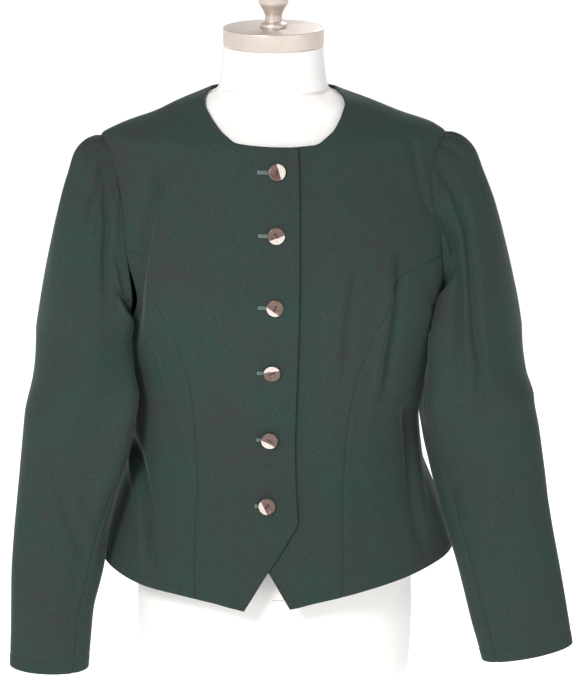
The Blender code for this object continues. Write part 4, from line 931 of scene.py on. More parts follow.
def across_sleeve(surface, side, place, down):
    """The outward direction of a sleeve's surface."""
    round_it = surface(side, place + 0.5, down) - surface(side, place - 0.5, down)
    down_it = surface(side, place, down + 0.0015) - surface(side, place, down - 0.0015)
    normal = np.cross(round_it, down_it) * SIGN[side]
    return normal / np.linalg.norm(normal, axis=-1, keepdims=True)


def sleeve_point(side, place, down):
    """A point of a sleeve's outer face, creases and all."""
    down = np.clip(down, 0, 1)
    normal = across_sleeve(bare_sleeve, side, place, down)
    return bare_sleeve(side, place, down) - normal * sleeve_depth(side, place, down)[..., None]


def under_places(side):
    """Where the under sleeve's two seams are, in degrees round the sleeve."""
    hole = ARMHOLES[side]
    first = hole.front_junction + (180 - hole.front_junction) * UNDER_FRONT
    return first, 180 + (hole.back_junction - 180) * UNDER_BACK


def add_sleeve(side, cut):
    """The upper or the under piece of a sleeve."""
    first, last = under_places(side)
    low, high, length = (first, last, 0.10) if cut == "under" else (last, first + 360, 0.25)
    place = low + (high - low) * stops(length, EDGE_STOPS, EDGE_STOPS, STEP_ACROSS)
    down = stops(SLEEVE_LENGTH, EDGE_STOPS, CUFF_STOPS, STEP_DOWN)
    place, down = np.meshgrid(place, down[::-1])
    if side == "left":
        place, down = place[:, ::-1], down[:, ::-1]
    points = sleeve_point(side, place, down)
    normals = across_sleeve(sleeve_point, side, place, down)
    points[-1] += np.array([SIGN[side] * ARMHOLE_GAP, 0, 0])
    edges = (
        ("hem", CUFF_WIDTH, points[0]), ("armhole", 0, points[-1]), ("seam", 0, points[:, 0]),
        ("seam", 0, points[:, -1]),
    )
    return add_cloth(f"sleeve_{cut}_{side}", points, normals, edges, ("start", "end"))


def add_armhole_seam(side):
    """The armhole's seam allowances, pressed into a narrow roll that lies under the seam."""
    place = np.linspace(0, 360, ARMHOLE_ROLL_STEPS)
    inward = -across_sleeve(sleeve_point, side, place, np.full_like(place, ARMHOLE_ROLL_DOWN))
    path = sleeve_point(side, place, np.zeros_like(place)) + inward * ARMHOLE_ROLL_DEEP
    bm = bmesh.new()
    tube_between(bm, path, ARMHOLE_ROLL, 10, np.array([1.0, 0.0, 0.0]))
    name = f"armhole_seam_{side}"
    settle(new_object(name, finish_mesh(name, bm), [wool_material()]), None)


def tube_between(bm, path, radius, sides, normal):
    """A round thread along a few points, closed at both ends."""
    path = np.asarray(path, float)
    along = np.gradient(path, axis=0)
    along /= np.linalg.norm(along, axis=1, keepdims=True)
    loops = []
    for point, direction, size in zip(path, along, np.broadcast_to(radius, len(path))):
        side = np.cross(direction, normal)
        side /= np.linalg.norm(side)
        up = np.cross(side, direction)
        angles = np.arange(sides) * math.tau / sides
        ring = point + size * (np.cos(angles)[:, None] * side + np.sin(angles)[:, None] * up)
        loops.append([bm.verts.new(spot) for spot in ring])
    for low, high in zip(loops, loops[1:]):
        for i in range(sides):
            j = (i + 1) % sides
            bm.faces.new((low[i], low[j], high[j], high[i]))
    bm.faces.new(loops[0][::-1])
    bm.faces.new(loops[-1])


def finish_mesh(name, bm):
    bmesh.ops.recalc_face_normals(bm, faces=bm.faces[:])
    mesh = bpy.data.meshes.new(name)
    bm.to_mesh(mesh)
    bm.free()
    return mesh


def add_stitches(name, points, normals, pitch, length, radius, material):
    """A row of short stitches along a line of the cloth."""
    run = np.concatenate(([0.0], np.cumsum(np.linalg.norm(np.diff(points, axis=0), axis=1))))
    bm = bmesh.new()
    for start in np.arange(pitch, run[-1] - pitch, pitch):
        at = start + length * np.array([0.0, 0.15, 0.5, 0.85, 1.0])
        path = np.stack([np.interp(at, run, points[:, i]) for i in range(3)], axis=-1)
        normal = np.array([np.interp(start, run, normals[:, i]) for i in range(3)])
        rise = np.array([-0.8, 0.1, 0.35, 0.1, -0.8]) * radius
        tube_between(bm, path + rise[:, None] * normal, radius, 6, normal)
    return settle(new_object(name, finish_mesh(name, bm), [material]), None)


def add_hem_stitches():
    """The stitches that hold the turned hem, and those of the cuffs."""
    settings = bpy.context.scene.hunting_jacket
    runs = {"front_right": (-88.0, -16.5, 1), "front_left": (-1.0, 88.0, -1), "back": (92.0, 268.0, 0)}
    for name, (first, last, layer) in runs.items():
        turn = np.linspace(first, last, 600)
        turn = np.where(turn > 180, turn - 360, turn)
        z = hem_z(turn) + HEM_WIDTH
        points = cloth_point(turn, z, layer)
        normals = normal_of(lambda t, h: cloth_point(t, h, layer), turn, z)
        points = points - normals * settings.stitch_depth
        add_stitches(f"hem_stitches_{name}", points, normals, 0.0027, 0.0018, 0.0003, thread_material())
    for side in SIGN:
        place = np.linspace(0.0, 360.0, 500)
        down = np.full_like(place, 1 - CUFF_WIDTH / SLEEVE_LENGTH)
        points = sleeve_point(side, place, down)
        normals = across_sleeve(sleeve_point, side, place, down)
        points = points - normals * settings.stitch_depth
        add_stitches(f"cuff_stitches_{side}", points, normals, 0.0027, 0.0018, 0.0003, thread_material())


def on_right_front(x, z):
    """Points of the right front's outer face, and the way they face, given as seen from the front."""
    turn = turn_at(x, z)
    points = cloth_point(turn, z, 1)
    return points, normal_of(lambda t, h: cloth_point(t, h, 1), turn, z)


def add_buttonhole(number, place, look):
    """A hand-worked buttonhole: two lips of close stitches round the slit and a bar at its end."""
    start = place.x - BUTTON_RADIUS - look.buttonhole
    across = np.arange(start, place.x + BUTTONHOLE_UNDER, BUTTONHOLE_PITCH)
    bm = bmesh.new()
    for lip in (-1, 1):
        reach = BUTTONHOLE_LIP * (1 + 0.06 * np.sin(2.3 * np.arange(len(across)) + lip))
        up = lip * np.array([0.13, 0.35, 0.65, 1.0]) * reach[:, None]
        add_threads(bm, across[:, None] + 0 * up, place.z + up, (0.9, 1.27, 0.97, 0.06))
    bar = start - np.array([0.0, 0.0006])
    up = np.linspace(-BUTTONHOLE_LIP, BUTTONHOLE_LIP, 5)[None, :] + 0 * bar[:, None]
    add_threads(bm, bar[:, None] + 0 * up, place.z + up, (0.0, 1.27, 1.58, 1.27, 0.0))
    name = f"buttonhole_{number}"
    settle(new_object(name, finish_mesh(name, bm), [buttonhole_material()]), None)


def add_threads(bm, x, z, rise):
    """Threads laid on the right front, each along a row of places, rising by shares of their radius."""
    points, normals = on_right_front(x, z)
    points = points + normals * (np.array(rise) * TWIST_RADIUS)[None, :, None]
    for path in points:
        tube_between(bm, path, TWIST_RADIUS, 6, np.array([1.0, 0.0, 0.0]))


def button_height(x, y, look):
    """The height of a button's face at places on it, in its own plane."""
    radius = np.hypot(x, y) / BUTTON_RADIUS
    height = curve_through(RIM_AT, RIM_RISE, radius) * BUTTON_HEIGHT
    pale = math.radians(look.pale)
    # The side of the polished facet; its pale colour is a painted highlight
    ahead = (x * math.cos(pale) + y * math.sin(pale)) / BUTTON_RADIUS - look.near
    facet = BUTTON_HEIGHT * (FACET_TOP - FACET_FALL * np.clip(ahead, 0, 1) ** 1.2)
    height = np.where(ahead > 0, np.minimum(np.maximum(height, FACET_FLOOR * facet), facet), height)
    holes = math.radians(look.holes)
    for sign in (-1, 1):
        hole_x, hole_y = sign * HOLE_APART * math.cos(holes), sign * HOLE_APART * math.sin(holes)
        away = np.hypot(x - hole_x, y - hole_y)
        height = height - HOLE_DEPTH * (1 - ease((away - 0.75 * HOLE_RADIUS) / (0.5 * HOLE_RADIUS)))
    return height, ahead


def add_button(number, look):
    """A sewn-through button with a raised rim, two holes, its thread and a polished facet painted pale as a
    highlight.
    """
    steps = BUTTON_STEPS
    rim = (0.93, 0.96, 0.98, 1.0)
    radii = np.concatenate([np.linspace(0.03, 0.40, 22), np.linspace(0.42, 0.90, 20), rim])
    angles = np.arange(steps) * math.tau / steps
    bm = bmesh.new()
    x = BUTTON_RADIUS * radii[:, None] * np.cos(angles)
    y = BUTTON_RADIUS * radii[:, None] * np.sin(angles)
    height, ahead = button_height(x, y, look)
    seat, normal = seat_of(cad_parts[f"button_{number}"])
    level = Vector((0, 0, 1)).cross(Vector(normal)).normalized()
    upright = Vector(normal).cross(level)
    basis = np.array([level, upright, normal])
    rings = [np.stack([x[i], y[i], height[i]], axis=-1) for i in range(len(radii))]
    for share, up in BUTTON_UNDER:
        spot = BUTTON_RADIUS * share
        level_ring = np.full(steps, up * BUTTON_HEIGHT)
        rings.append(np.stack([spot * np.cos(angles), spot * np.sin(angles), level_ring], axis=-1))
    loops = [[bm.verts.new(seat + point @ basis) for point in ring] for ring in rings]
    for i, (low, high) in enumerate(zip(loops, loops[1:])):
        for j in range(steps):
            k = (j + 1) % steps
            face = bm.faces.new((low[j], low[k], high[k], high[j]))
            # Faces on the facet take the pale horn: a painted highlight, not the horn's own colour
            if i < len(radii) - 1 and radii[i] < RIM_START and ahead[i, j] > 0.0:
                face.material_index = 1
    bm.faces.new(loops[0])
    bm.faces.new(loops[-1])
    name = f"horn_button_{number}"
    obj = new_object(name, finish_mesh(name, bm), [horn_material(), painted_highlight_horn_material()])
    obj.data.set_sharp_from_angle(angle=math.radians(BUTTON_CREASE))
    settle(obj, f"button_{number}")
    add_button_thread(number, look, seat, basis)


def add_button_thread(number, look, seat, basis):
    """The two turns of thread that run from one hole of a button to the other."""
    bm = bmesh.new()
    holes = math.radians(look.holes)
    toward = np.array([math.cos(holes), math.sin(holes), 0])
    beside = np.array([-math.sin(holes), math.cos(holes), 0])
    for apart in (-THREAD_APART, THREAD_APART):
        spots = [
            toward * along * HOLE_APART + beside * apart + np.array([0, 0, up * BUTTON_HEIGHT])
            for along, up in THREAD_RUN
        ]
        tube_between(bm, seat + np.array(spots) @ basis, THREAD_RADIUS, 6, basis[2])
    name = f"button_thread_{number}"
    settle(new_object(name, finish_mesh(name, bm), [thread_material()]), None)


def seat_of(node):
    """The middle of a button's underside and the way the button faces, from its node."""
    corners = np.empty(len(node.data.vertices) * 3)
    node.data.vertices.foreach_get("co", corners)
    points = corners.reshape(-1, 3)
    middle = points.mean(axis=0)
    normal = np.linalg.svd(points - middle)[2][2]
    normal = normal if normal[1] < 0 else -normal
    reach = (points - middle) @ normal
    return middle + normal * reach.min(), normal


def add_form():
    """The form's torso with its jersey and faint seams, held inside the jacket."""
    settings = bpy.context.scene.hunting_jacket
    z = np.concatenate([
        np.linspace(FORM_LOW_Z, FORM[1].z, 4), np.linspace(FORM[1].z, FORM_EDGE_Z, 5)[1:],
        np.linspace(FORM_EDGE_Z, FORM_CHEST_Z, 70)[1:],
        np.linspace(FORM_CHEST_Z, FORM_TOP_Z - FORM_TOP_EDGE, 60)[1:],
        [FORM_TOP_Z - FORM_TOP_EDGE / 2, FORM_TOP_Z],
    ])
    close = np.array(FORM_SEAM_PLACES)
    turn = np.concatenate([np.linspace(-180, 180, 145)[:-1], *(seam + close for seam in FORM_SEAMS)])
    turn = np.unique(np.round((turn + 180) % 360 - 180, 4))
    spread, height = np.meshgrid(turn, z)
    rings = inside_jacket(ring_point(FORM, spread, height))
    out = rings * np.array([1.0, 1.0, 0.0])
    out /= np.linalg.norm(out, axis=-1, keepdims=True)
    for seam in FORM_SEAMS:
        rings -= out * (settings.form_seam_depth * bell(spread - seam, FORM_SEAM_HALF))[..., None]
    rings -= out * np.clip(z - FORM_TOP_Z + FORM_TOP_EDGE, 0, None)[:, None, None]
    bm = bmesh.new()
    loops = [[bm.verts.new(point) for point in ring] for ring in rings]
    for low, high in zip(loops, loops[1:]):
        for j in range(len(turn)):
            k = (j + 1) % len(turn)
            bm.faces.new((low[j], low[k], high[k], high[j]))
    bm.faces.new(loops[0][::-1])
    bm.faces.new(loops[-1])
    obj = new_object("jersey_form", finish_mesh("jersey_form", bm), [jersey_material()])
    obj.data.set_sharp_from_angle(angle=math.radians(40))
    settle(obj, "form_torso")


def inside_jacket(rings):
    """The form's rings, brought in where they would come nearer to the jacket's inside than it rests."""
    for ring in rings:
        z = ring[0, 2]
        if z > NECK_POINT_Z:
            continue
        neck_turn = float(curve_through(column(NECKLINE, "z"), FORM_NECK_TURNS, z))
        turn = np.linspace(-180, 180, FORM_LIMIT_PLACES + 1)
        outer, normal = cloth_point(turn, z, -1), normal_of(lambda t, h: cloth_point(t, h, -1), turn, z)
        reach = np.hypot(outer[:, 0], outer[:, 1])
        facing = np.sum(normal[:, :2] * outer[:, :2], axis=1) / reach
        near_neck = ease((z - FORM_NECK_LOW_Z) / (FORM_NECK_HIGH_Z - FORM_NECK_LOW_Z))
        loose = FORM_EASE + (FORM_NECK_EASE - FORM_EASE) * near_neck
        clear = WALL + FORM_REST_GAP + loose * ease(np.abs(np.abs(turn) - SHOULDER_SEAM) / FORM_REST_TURN)
        limit = reach - clear / np.clip(facing, 0.25, 1.0)
        angle, own = np.arctan2(outer[:, 0], -outer[:, 1]), np.hypot(ring[:, 0], ring[:, 1])
        allowed = np.interp(np.arctan2(ring[:, 0], -ring[:, 1]), angle, limit)
        inside_neck = neck_turn - np.abs(np.degrees(np.arctan2(ring[:, 0], -ring[:, 1])))
        covered = 1 - ease(inside_neck / FORM_NECK_SOFT)
        ring[:, :2] *= (1 - covered * (1 - np.minimum(1.0, allowed / own)))[:, None]
    return rings


def add_turned(node, profile, material):
    """A turned solid from its profile, which runs from the top down its outside."""
    name = f"turned_{node}"
    angles = np.arange(TURNED_STEPS) * math.tau / TURNED_STEPS
    bm = bmesh.new()
    loops = []
    for row in profile:
        if row.radius < 1e-6:
            loops.append([bm.verts.new((0, 0, row.z))])
        else:
            ring = [(row.radius * math.cos(a), row.radius * math.sin(a), row.z) for a in angles]
            loops.append([bm.verts.new(point) for point in ring])
    for low, high in zip(loops, loops[1:]):
        for i in range(TURNED_STEPS):
            j = (i + 1) % TURNED_STEPS
            corners = [low[i % len(low)], low[j % len(low)], high[j % len(high)], high[i % len(high)]]
            bm.faces.new(list(dict.fromkeys(corners)))
    obj = new_object(name, finish_mesh(name, bm), [material])
    obj.data.set_sharp_from_angle(angle=math.radians(38))
    settle(obj, node)


def smooth_profile(profile, count):
    """A profile with its curved run drawn more finely; its first and last faces stay flat."""
    rows = path_places([(row.radius, row.z) for row in profile], np.linspace(0, 1, count))
    return [Turned(max(float(r), 0.0), float(z)) for r, z in rows]


def rounded(profile, size):
    """A profile with each corner cut by a small round."""
    rows = [profile[0]]
    for before, corner, after in zip(profile, profile[1:], profile[2:]):
        spot, low, high = (np.array([row.radius, row.z]) for row in (corner, before, after))
        reach = min(size, 0.4 * np.linalg.norm(low - spot), 0.4 * np.linalg.norm(high - spot))
        first = spot + (low - spot) / np.linalg.norm(low - spot) * reach
        last = spot + (high - spot) / np.linalg.norm(high - spot) * reach
        for t in (0.0, 0.25, 0.5, 0.75, 1.0):
            point = (1 - t) ** 2 * first + 2 * t * (1 - t) * spot + t * t * last
            rows.append(Turned(float(point[0]), float(point[1])))
    return [*rows, profile[-1]]


def add_stand():
    """The neck cap, the finial, the pole and the base."""
    cap = (
        Turned(0.0, CAP_TOP_Z), Turned(CAP_RADIUS, CAP_TOP_Z),
        Turned(CAP_RADIUS, CAP_LOW_Z), Turned(0.0, CAP_LOW_Z),
    )
    low, high = BASE[0].z + SOLID_GAP, FORM_LOW_Z - SOLID_GAP
    pole = (Turned(0.0, high), Turned(POLE_RADIUS, high), Turned(POLE_RADIUS, low), Turned(0.0, low))
    add_turned("neck_cap", rounded(cap, CAP_EDGE), metal_material())
    curved = [*smooth_profile(FINIAL[:-3], 60), *FINIAL[-3:]]
    add_turned("finial", curved, metal_material())
    add_turned("stand_base", rounded(BASE, 0.0015), metal_material())
    add_turned("stand_pole", rounded(pole, 0.0008), metal_material())


def shader_of(name):
    """A new material's tree, its main shader and whether it still has to be made."""
    made = bpy.data.materials.get(name)
    if made:
        return made, None, None
    material = bpy.data.materials.new(name)
    material.use_nodes = True
    return material, material.node_tree, material.node_tree.nodes["Principled BSDF"]


def pattern(tree, kind, scale, **settings):
    """A procedural pattern in the object's own metres."""
    place = tree.nodes.get("Place") or tree.nodes.new("ShaderNodeTexCoord")
    place.name = "Place"
    node = tree.nodes.new(kind)
    node.inputs["Scale"].default_value = scale
    for name, value in settings.items():
        if name in node.inputs:
            node.inputs[name].default_value = value
        else:
            setattr(node, name, value)
    tree.links.new(place.outputs["Object"], node.inputs["Vector"])
    return node.outputs[0]


def ramp(tree, factor, *marks):
    """Colours at places along a pattern's values."""
    node = tree.nodes.new("ShaderNodeValToRGB")
    band = node.color_ramp
    while len(band.elements) < len(marks):
        band.elements.new(0.5)
    for element, (spot, colour) in zip(band.elements, marks):
        element.position = spot
        element.color = (*colour, 1.0)
    tree.links.new(factor, node.inputs["Fac"])
    return node.outputs["Color"]


def blend_colours(tree, kind, share, first, second):
    node = tree.nodes.new("ShaderNodeMixRGB")
    node.blend_type = kind
    node.inputs["Fac"].default_value = share
    tree.links.new(first, node.inputs["Color1"])
    tree.links.new(second, node.inputs["Color2"])
    return node.outputs["Color"]


def add_bump(tree, shader, *layers):
    """Bumps one over another, each a pattern with its height in metres and strength."""
    before = None
    for height, distance, strength in layers:
        node = tree.nodes.new("ShaderNodeBump")
        node.inputs["Distance"].default_value = distance
        node.inputs["Strength"].default_value = strength
        tree.links.new(height, node.inputs["Height"])
        if before:
            tree.links.new(before, node.inputs["Normal"])
        before = node.outputs["Normal"]
    tree.links.new(before, shader.inputs["Normal"])


def scaled(colour, factor):
    return tuple(min(1.0, part * factor) for part in colour)


def wool_material():
    """Fulled wool: mottled dark green with a short fibrous nap."""
    material, tree, shader = shader_of("fulled_wool")
    if not tree:
        return material
    settings = bpy.context.scene.hunting_jacket
    colour = tuple(settings.cloth_colour)
    red, green, blue = colour
    fine = pattern(tree, "ShaderNodeTexNoise", 620.0, Detail=3.0, Roughness=0.7)
    fine = ramp(tree, fine, (0.36, scaled(colour, 0.45)), (0.52, colour), (0.68, scaled(colour, 1.85)))
    patches = pattern(tree, "ShaderNodeTexNoise", 140.0, Detail=5.0, Roughness=0.7)
    warm, cool = (red * 1.45, green * 0.93, blue * 0.92), (red * 0.62, green * 1.08, blue * 1.09)
    patches = ramp(tree, patches, (0.38, scaled(warm, 0.90)), (0.62, scaled(cool, 1.12)))
    wide = pattern(tree, "ShaderNodeTexNoise", 13.0, Detail=2.0, Roughness=0.5)
    wide = ramp(tree, wide, (0.32, scaled(warm, 0.90)), (0.68, scaled(cool, 1.10)))
    mottled = blend_colours(tree, "MIX", 0.55, fine, patches)
    tree.links.new(blend_colours(tree, "MIX", 0.35, mottled, wide), shader.inputs["Base Color"])
    shader.inputs["Roughness"].default_value = settings.cloth_roughness
    shader.inputs["Specular IOR Level"].default_value = 0.15
    shader.inputs["Sheen Weight"].default_value = settings.cloth_sheen
    shader.inputs["Sheen Roughness"].default_value = 0.35
    shader.inputs["Sheen Tint"].default_value = (0.72, 0.86, 0.80, 1.0)
    fibres = pattern(tree, "ShaderNodeTexNoise", 1500.0, Detail=3.0, Roughness=0.8, Distortion=1.2)
    felt = pattern(tree, "ShaderNodeTexNoise", 330.0, Detail=3.0, Roughness=0.65)
    add_bump(tree, shader, (felt, 0.0007, 0.42), (fibres, 0.00025, 0.40))
    return material


def thread_material():
    """Twisted dark green sewing thread."""
    return twisted("sewing_thread", scaled(bpy.context.scene.hunting_jacket.cloth_colour, 0.75))


def buttonhole_material():
    """Paler twist that works the buttonholes."""
    return twisted("buttonhole_twist", tuple(bpy.context.scene.hunting_jacket.buttonhole_colour))


def twisted(name, colour):
    material, tree, shader = shader_of(name)
    if tree:
        twist = pattern(tree, "ShaderNodeTexWave", 900.0, Distortion=1.0, bands_direction="DIAGONAL")
        tone = ramp(tree, twist, (0.2, scaled(colour, 0.7)), (0.8, scaled(colour, 1.15)))
        tree.links.new(tone, shader.inputs["Base Color"])
        shader.inputs["Roughness"].default_value = 0.62
        shader.inputs["Sheen Weight"].default_value = 0.2
        add_bump(tree, shader, (twist, 0.0002, 0.5))
    return material


def horn(name, colour, roughness):
    material, tree, shader = shader_of(name)
    if tree:
        cloud = pattern(tree, "ShaderNodeTexNoise", 260.0, Detail=4.0, Roughness=0.6, Distortion=0.8)
        cloud = ramp(tree, cloud, (0.28, scaled(colour, 0.70)), (0.5, colour), (0.72, scaled(colour, 1.22)))
        streaks = pattern(tree, "ShaderNodeTexWave", 130.0, Distortion=7.0, Detail=2.0, wave_type="BANDS")
        streaks = ramp(tree, streaks, (0.1, scaled(colour, 0.85)), (0.9, scaled(colour, 1.12)))
        tree.links.new(blend_colours(tree, "MIX", 0.4, cloud, streaks), shader.inputs["Base Color"])
        shader.inputs["Roughness"].default_value = roughness
        shader.inputs["Coat Weight"].default_value = 0.2
        shader.inputs["Coat Roughness"].default_value = 0.12
        scratches = pattern(tree, "ShaderNodeTexNoise", 1400.0, Detail=2.0)
        add_bump(tree, shader, (scratches, 0.00006, 0.35))
    return material


def horn_material():
    """Polished pinkish brown horn, clouded and lightly scratched."""
    return horn("polished_horn", tuple(bpy.context.scene.hunting_jacket.button_colour), 0.30)


def painted_highlight_horn_material():
    """A button's polished facet, painted pale as a highlight."""
    return horn("pale_horn", tuple(bpy.context.scene.hunting_jacket.button_painted_highlight_colour), 0.16)


def jersey_material():
    """Fine white jersey stretched over the form: a small knit and a soft unevenness."""
    material, tree, shader = shader_of("stretched_jersey")
    if tree:
        colour = tuple(bpy.context.scene.hunting_jacket.jersey_colour)
        rows = pattern(tree, "ShaderNodeTexWave", 420.0, bands_direction="Z", Distortion=1.2, Detail=1.0)
        loops = pattern(tree, "ShaderNodeTexWave", 420.0, bands_direction="X", Distortion=1.2, Detail=1.0)
        cloud = pattern(tree, "ShaderNodeTexNoise", 9.0, Detail=3.0)
        cloud = ramp(tree, cloud, (0.3, scaled(colour, 0.975)), (0.7, scaled(colour, 1.01)))
        knit = ramp(tree, rows, (0.1, scaled(colour, 0.955)), (0.9, scaled(colour, 1.01)))
        tree.links.new(blend_colours(tree, "MIX", 0.45, cloud, knit), shader.inputs["Base Color"])
        shader.inputs["Roughness"].default_value = 0.88
        shader.inputs["Sheen Weight"].default_value = 0.12
        add_bump(tree, shader, (rows, 0.00025, 0.20), (loops, 0.00025, 0.20))
    return material


def metal_material():
    """Satin warm grey metal with faint turning marks."""
    material, tree, shader = shader_of("satin_metal")
    if tree:
        colour = tuple(bpy.context.scene.hunting_jacket.metal_colour)
        turned = pattern(
            tree, "ShaderNodeTexWave", 190.0, wave_type="RINGS", rings_direction="Z", Distortion=0.6
        )
        cloud = pattern(tree, "ShaderNodeTexNoise", 40.0, Detail=4.0, Roughness=0.6)
        tone = ramp(tree, cloud, (0.3, scaled(colour, 0.93)), (0.7, scaled(colour, 1.04)))
        tree.links.new(tone, shader.inputs["Base Color"])
        rough = ramp(tree, turned, (0.2, (0.34,) * 3), (0.8, (0.46,) * 3))
        tree.links.new(rough, shader.inputs["Roughness"])
        shader.inputs["Metallic"].default_value = 0.55
        add_bump(tree, shader, (turned, 0.0001, 0.12))
    return material


def floor_material():
    """A pale, plain studio floor."""
    material, tree, shader = shader_of("studio_floor")
    if tree:
        colour = tuple(bpy.context.scene.hunting_jacket.floor_colour)
        cloud = pattern(tree, "ShaderNodeTexNoise", 1.5, Detail=2.0)
        tone = ramp(tree, cloud, (0.3, scaled(colour, 0.99)), (0.7, scaled(colour, 1.005)))
        tree.links.new(tone, shader.inputs["Base Color"])
        shader.inputs["Roughness"].default_value = 0.9
        shader.inputs["Emission Color"].default_value = (1.0, 1.0, 1.0, 1.0)
        shader.inputs["Emission Strength"].default_value = bpy.context.scene.hunting_jacket.floor_glow
    return material


def add_floor():
    """A wide flat pale floor just under the stand."""
    half = FLOOR_SIZE / 2
    bm = bmesh.new()
    corners = ((-half, -half), (half, -half), (half, half), (-half, half))
    bm.faces.new([bm.verts.new((x, y, -FLOOR_GAP)) for x, y in corners])
    mesh = bpy.data.meshes.new("floor")
    bm.to_mesh(mesh)
    bm.free()
    new_object("floor", mesh, [floor_material()])


def add_lamps():
    """Even light all round, whiter at the height of the horizon, and the lamps."""
    settings = bpy.context.scene.hunting_jacket
    world = bpy.data.worlds.new("studio")
    world.use_nodes = True
    tree = world.node_tree
    direction = tree.nodes.new("ShaderNodeTexCoord")
    height = tree.nodes.new("ShaderNodeSeparateXYZ")
    tree.links.new(direction.outputs["Generated"], height.inputs["Vector"])
    above = (settings.room_light,) * 3
    glow = ramp(tree, height.outputs["Z"], (HORIZON_TOP, (1.0, 1.0, 1.0)), (HORIZON_TOP * 2, above))
    tree.links.new(glow, tree.nodes["Background"].inputs["Color"])
    bpy.context.scene.world = world
    for lamp in LAMPS:
        light = bpy.data.lights.new(lamp.name, "AREA")
        light.shape, light.size = "DISK", lamp.size
        light.energy = settings.lamp_power * lamp.power
        obj = bpy.data.objects.new(lamp.name, light)
        obj.location = lamp.place
        aim = Vector(lamp.aim) - Vector(lamp.place)
        obj.rotation_euler = aim.to_track_quat("-Z", "Y").to_euler()
        bpy.context.scene.collection.objects.link(obj)


def add_camera():
    """The camera, where it stood for the photograph."""
    camera = bpy.data.cameras.new("camera")
    camera.sensor_fit = "HORIZONTAL"
    camera.angle = CAMERA_ANGLE
    camera.clip_end = 60.0
    obj = bpy.data.objects.new("camera", camera)
    obj.location = CAMERA_PLACE
    obj.rotation_euler = (math.radians(90 - CAMERA_TILT), 0.0, 0.0)
    bpy.context.scene.collection.objects.link(obj)
    bpy.context.scene.camera = obj
    bpy.context.scene.view_settings.view_transform = "Standard"


def colour_property(name, description, default):
    """A colour that can be picked in the panel."""
    return bpy.props.FloatVectorProperty(
        name=name, description=description, default=default, subtype="COLOR", min=0.0, max=1.0, size=3
    )


class HuntingJacketSettings(bpy.types.PropertyGroup):
    """Sizes and colours of the jacket, the form and the studio."""

    cloth_colour: colour_property("Cloth colour", "Colour of the fulled wool", (0.029, 0.0435, 0.0385))
    buttonhole_colour: colour_property(
        "Buttonhole colour", "Colour of the buttonholes' twist", (0.20, 0.30, 0.28)
    )
    button_colour: colour_property("Button colour", "Colour of the horn", (0.135, 0.078, 0.064))
    # The pale side colour is a painted highlight on each button's polished facet
    button_painted_highlight_colour: colour_property(
        "Pale side colour", "Colour of each button's pale side", (0.66, 0.58, 0.52)
    )
    jersey_colour: colour_property("Jersey colour", "Colour of the form's jersey", (0.88, 0.86, 0.84))
    metal_colour: colour_property("Metal colour", "Colour of the cap, finial and stand", (0.64, 0.55, 0.49))
    floor_colour: colour_property("Floor colour", "Colour of the studio floor", (0.92, 0.92, 0.92))
    cloth_roughness: bpy.props.FloatProperty(
        name="Cloth roughness", description="How matt the wool is", default=0.95, min=0.3, max=1.0,
        subtype="FACTOR",
    )
    cloth_sheen: bpy.props.FloatProperty(
        name="Nap sheen", description="How much the wool's nap catches the light", default=0.22,
        min=0.0, max=1.0, subtype="FACTOR",
    )
    seam_depth: bpy.props.FloatProperty(
        name="Seam depth", description="How far the cloth dips into its seams", default=0.0009, min=0.0,
        max=0.0012, precision=5, unit="LENGTH", subtype="DISTANCE",
    )
    stitch_depth: bpy.props.FloatProperty(
        name="Stitch depth", description="How far the hem's stitching sinks into the cloth", default=0.0005,
        min=0.0, max=0.0009, precision=5, unit="LENGTH", subtype="DISTANCE",
    )
    form_seam_depth: bpy.props.FloatProperty(
        name="Form seam depth", description="How far the form's seams dip", default=0.0004, min=0.0,
        max=0.001, precision=5, unit="LENGTH", subtype="DISTANCE",
    )
    room_light: bpy.props.FloatProperty(
        name="Room light", description="Strength of the even light all round", default=0.26, min=0.0, max=3.0
    )
    lamp_power: bpy.props.FloatProperty(
        name="Lamp power", description="Power of the key lamp, which the others follow", default=66.0,
        min=0.0, max=500.0, unit="POWER",
    )
    floor_glow: bpy.props.FloatProperty(
        name="Floor glow", description="Light that the floor gives off by itself", default=0.72,
        min=0.0, max=2.0,
    )


class JACKET_OT_fronts(bpy.types.Operator):
    """Make the two fronts, the right one lapped over the left one"""

    bl_idname = "jacket.fronts"
    bl_label = "Fronts"

    def execute(self, context):
        for side in SIGN:
            add_front(side)
        return {"FINISHED"}


class JACKET_OT_sides(bpy.types.Operator):
    """Make the side fronts and the side backs"""

    bl_idname = "jacket.sides"
    bl_label = "Side pieces"

    def execute(self, context):
        for side in SIGN:
            for face in ("front", "back"):
                add_side(side, face)
        return {"FINISHED"}


class JACKET_OT_back(bpy.types.Operator):
    """Make the back"""

    bl_idname = "jacket.back"
    bl_label = "Back"

    def execute(self, context):
        add_back()
        return {"FINISHED"}


class JACKET_OT_sleeves(bpy.types.Operator):
    """Make the upper and the under piece of both sleeves"""

    bl_idname = "jacket.sleeves"
    bl_label = "Sleeves"

    def execute(self, context):
        for side in SIGN:
            for cut in ("upper", "under"):
                add_sleeve(side, cut)
            add_armhole_seam(side)
        return {"FINISHED"}


class JACKET_OT_stitches(bpy.types.Operator):
    """Sew the turned hem and cuffs"""

    bl_idname = "jacket.stitches"
    bl_label = "Hem and cuff stitches"

    def execute(self, context):
        add_hem_stitches()
        return {"FINISHED"}


class JACKET_OT_buttonholes(bpy.types.Operator):
    """Work the six buttonholes in the right front"""

    bl_idname = "jacket.buttonholes"
    bl_label = "Buttonholes"

    def execute(self, context):
        for number, (place, look) in enumerate(zip(BUTTONS, BUTTON_LOOKS), 1):
            add_buttonhole(number, place, look)
        return {"FINISHED"}


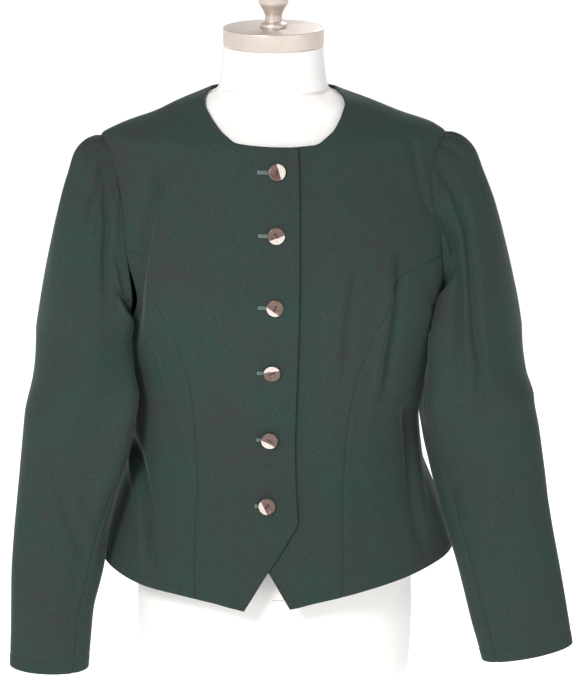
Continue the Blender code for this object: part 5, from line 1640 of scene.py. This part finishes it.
class JACKET_OT_buttons(bpy.types.Operator):
    """Make the six horn buttons and their thread"""

    bl_idname = "jacket.buttons"
    bl_label = "Buttons"

    def execute(self, context):
        for number, look in enumerate(BUTTON_LOOKS, 1):
            add_button(number, look)
        return {"FINISHED"}


class JACKET_OT_form(bpy.types.Operator):
    """Make the form's torso in its jersey"""

    bl_idname = "jacket.form"
    bl_label = "Form"

    def execute(self, context):
        add_form()
        return {"FINISHED"}


class JACKET_OT_stand(bpy.types.Operator):
    """Make the neck cap, the finial, the pole and the base"""

    bl_idname = "jacket.stand"
    bl_label = "Cap, finial and stand"

    def execute(self, context):
        add_stand()
        return {"FINISHED"}


class JACKET_OT_stage(bpy.types.Operator):
    """Set the floor, the lamps and the camera"""

    bl_idname = "jacket.stage"
    bl_label = "Floor, lamps and camera"

    def execute(self, context):
        add_floor()
        add_lamps()
        add_camera()
        return {"FINISHED"}


STEPS = (
    JACKET_OT_fronts, JACKET_OT_sides, JACKET_OT_back, JACKET_OT_sleeves, JACKET_OT_stitches,
    JACKET_OT_buttonholes, JACKET_OT_buttons, JACKET_OT_form, JACKET_OT_stand, JACKET_OT_stage,
)


class JACKET_PT_panel(bpy.types.Panel):
    """The jacket's settings and pieces"""

    bl_idname = "JACKET_PT_panel"
    bl_label = "Hunting jacket"
    bl_space_type = "VIEW_3D"
    bl_region_type = "UI"
    bl_category = "Jacket"

    def draw(self, context):
        settings = context.scene.hunting_jacket
        for name in HuntingJacketSettings.__annotations__:
            self.layout.prop(settings, name)
        for step in STEPS:
            self.layout.operator(step.bl_idname)


CLASSES = (HuntingJacketSettings, *STEPS, JACKET_PT_panel)


def register():
    for cls in CLASSES:
        bpy.utils.register_class(cls)
    bpy.types.Scene.hunting_jacket = bpy.props.PointerProperty(type=HuntingJacketSettings)


def unregister():
    del bpy.types.Scene.hunting_jacket
    for cls in reversed(CLASSES):
        bpy.utils.unregister_class(cls)


def main():
    register()
    for step in STEPS:
        group, name = step.bl_idname.split(".")
        getattr(getattr(bpy.ops, group), name)()


if __name__ == "__main__":
    main()
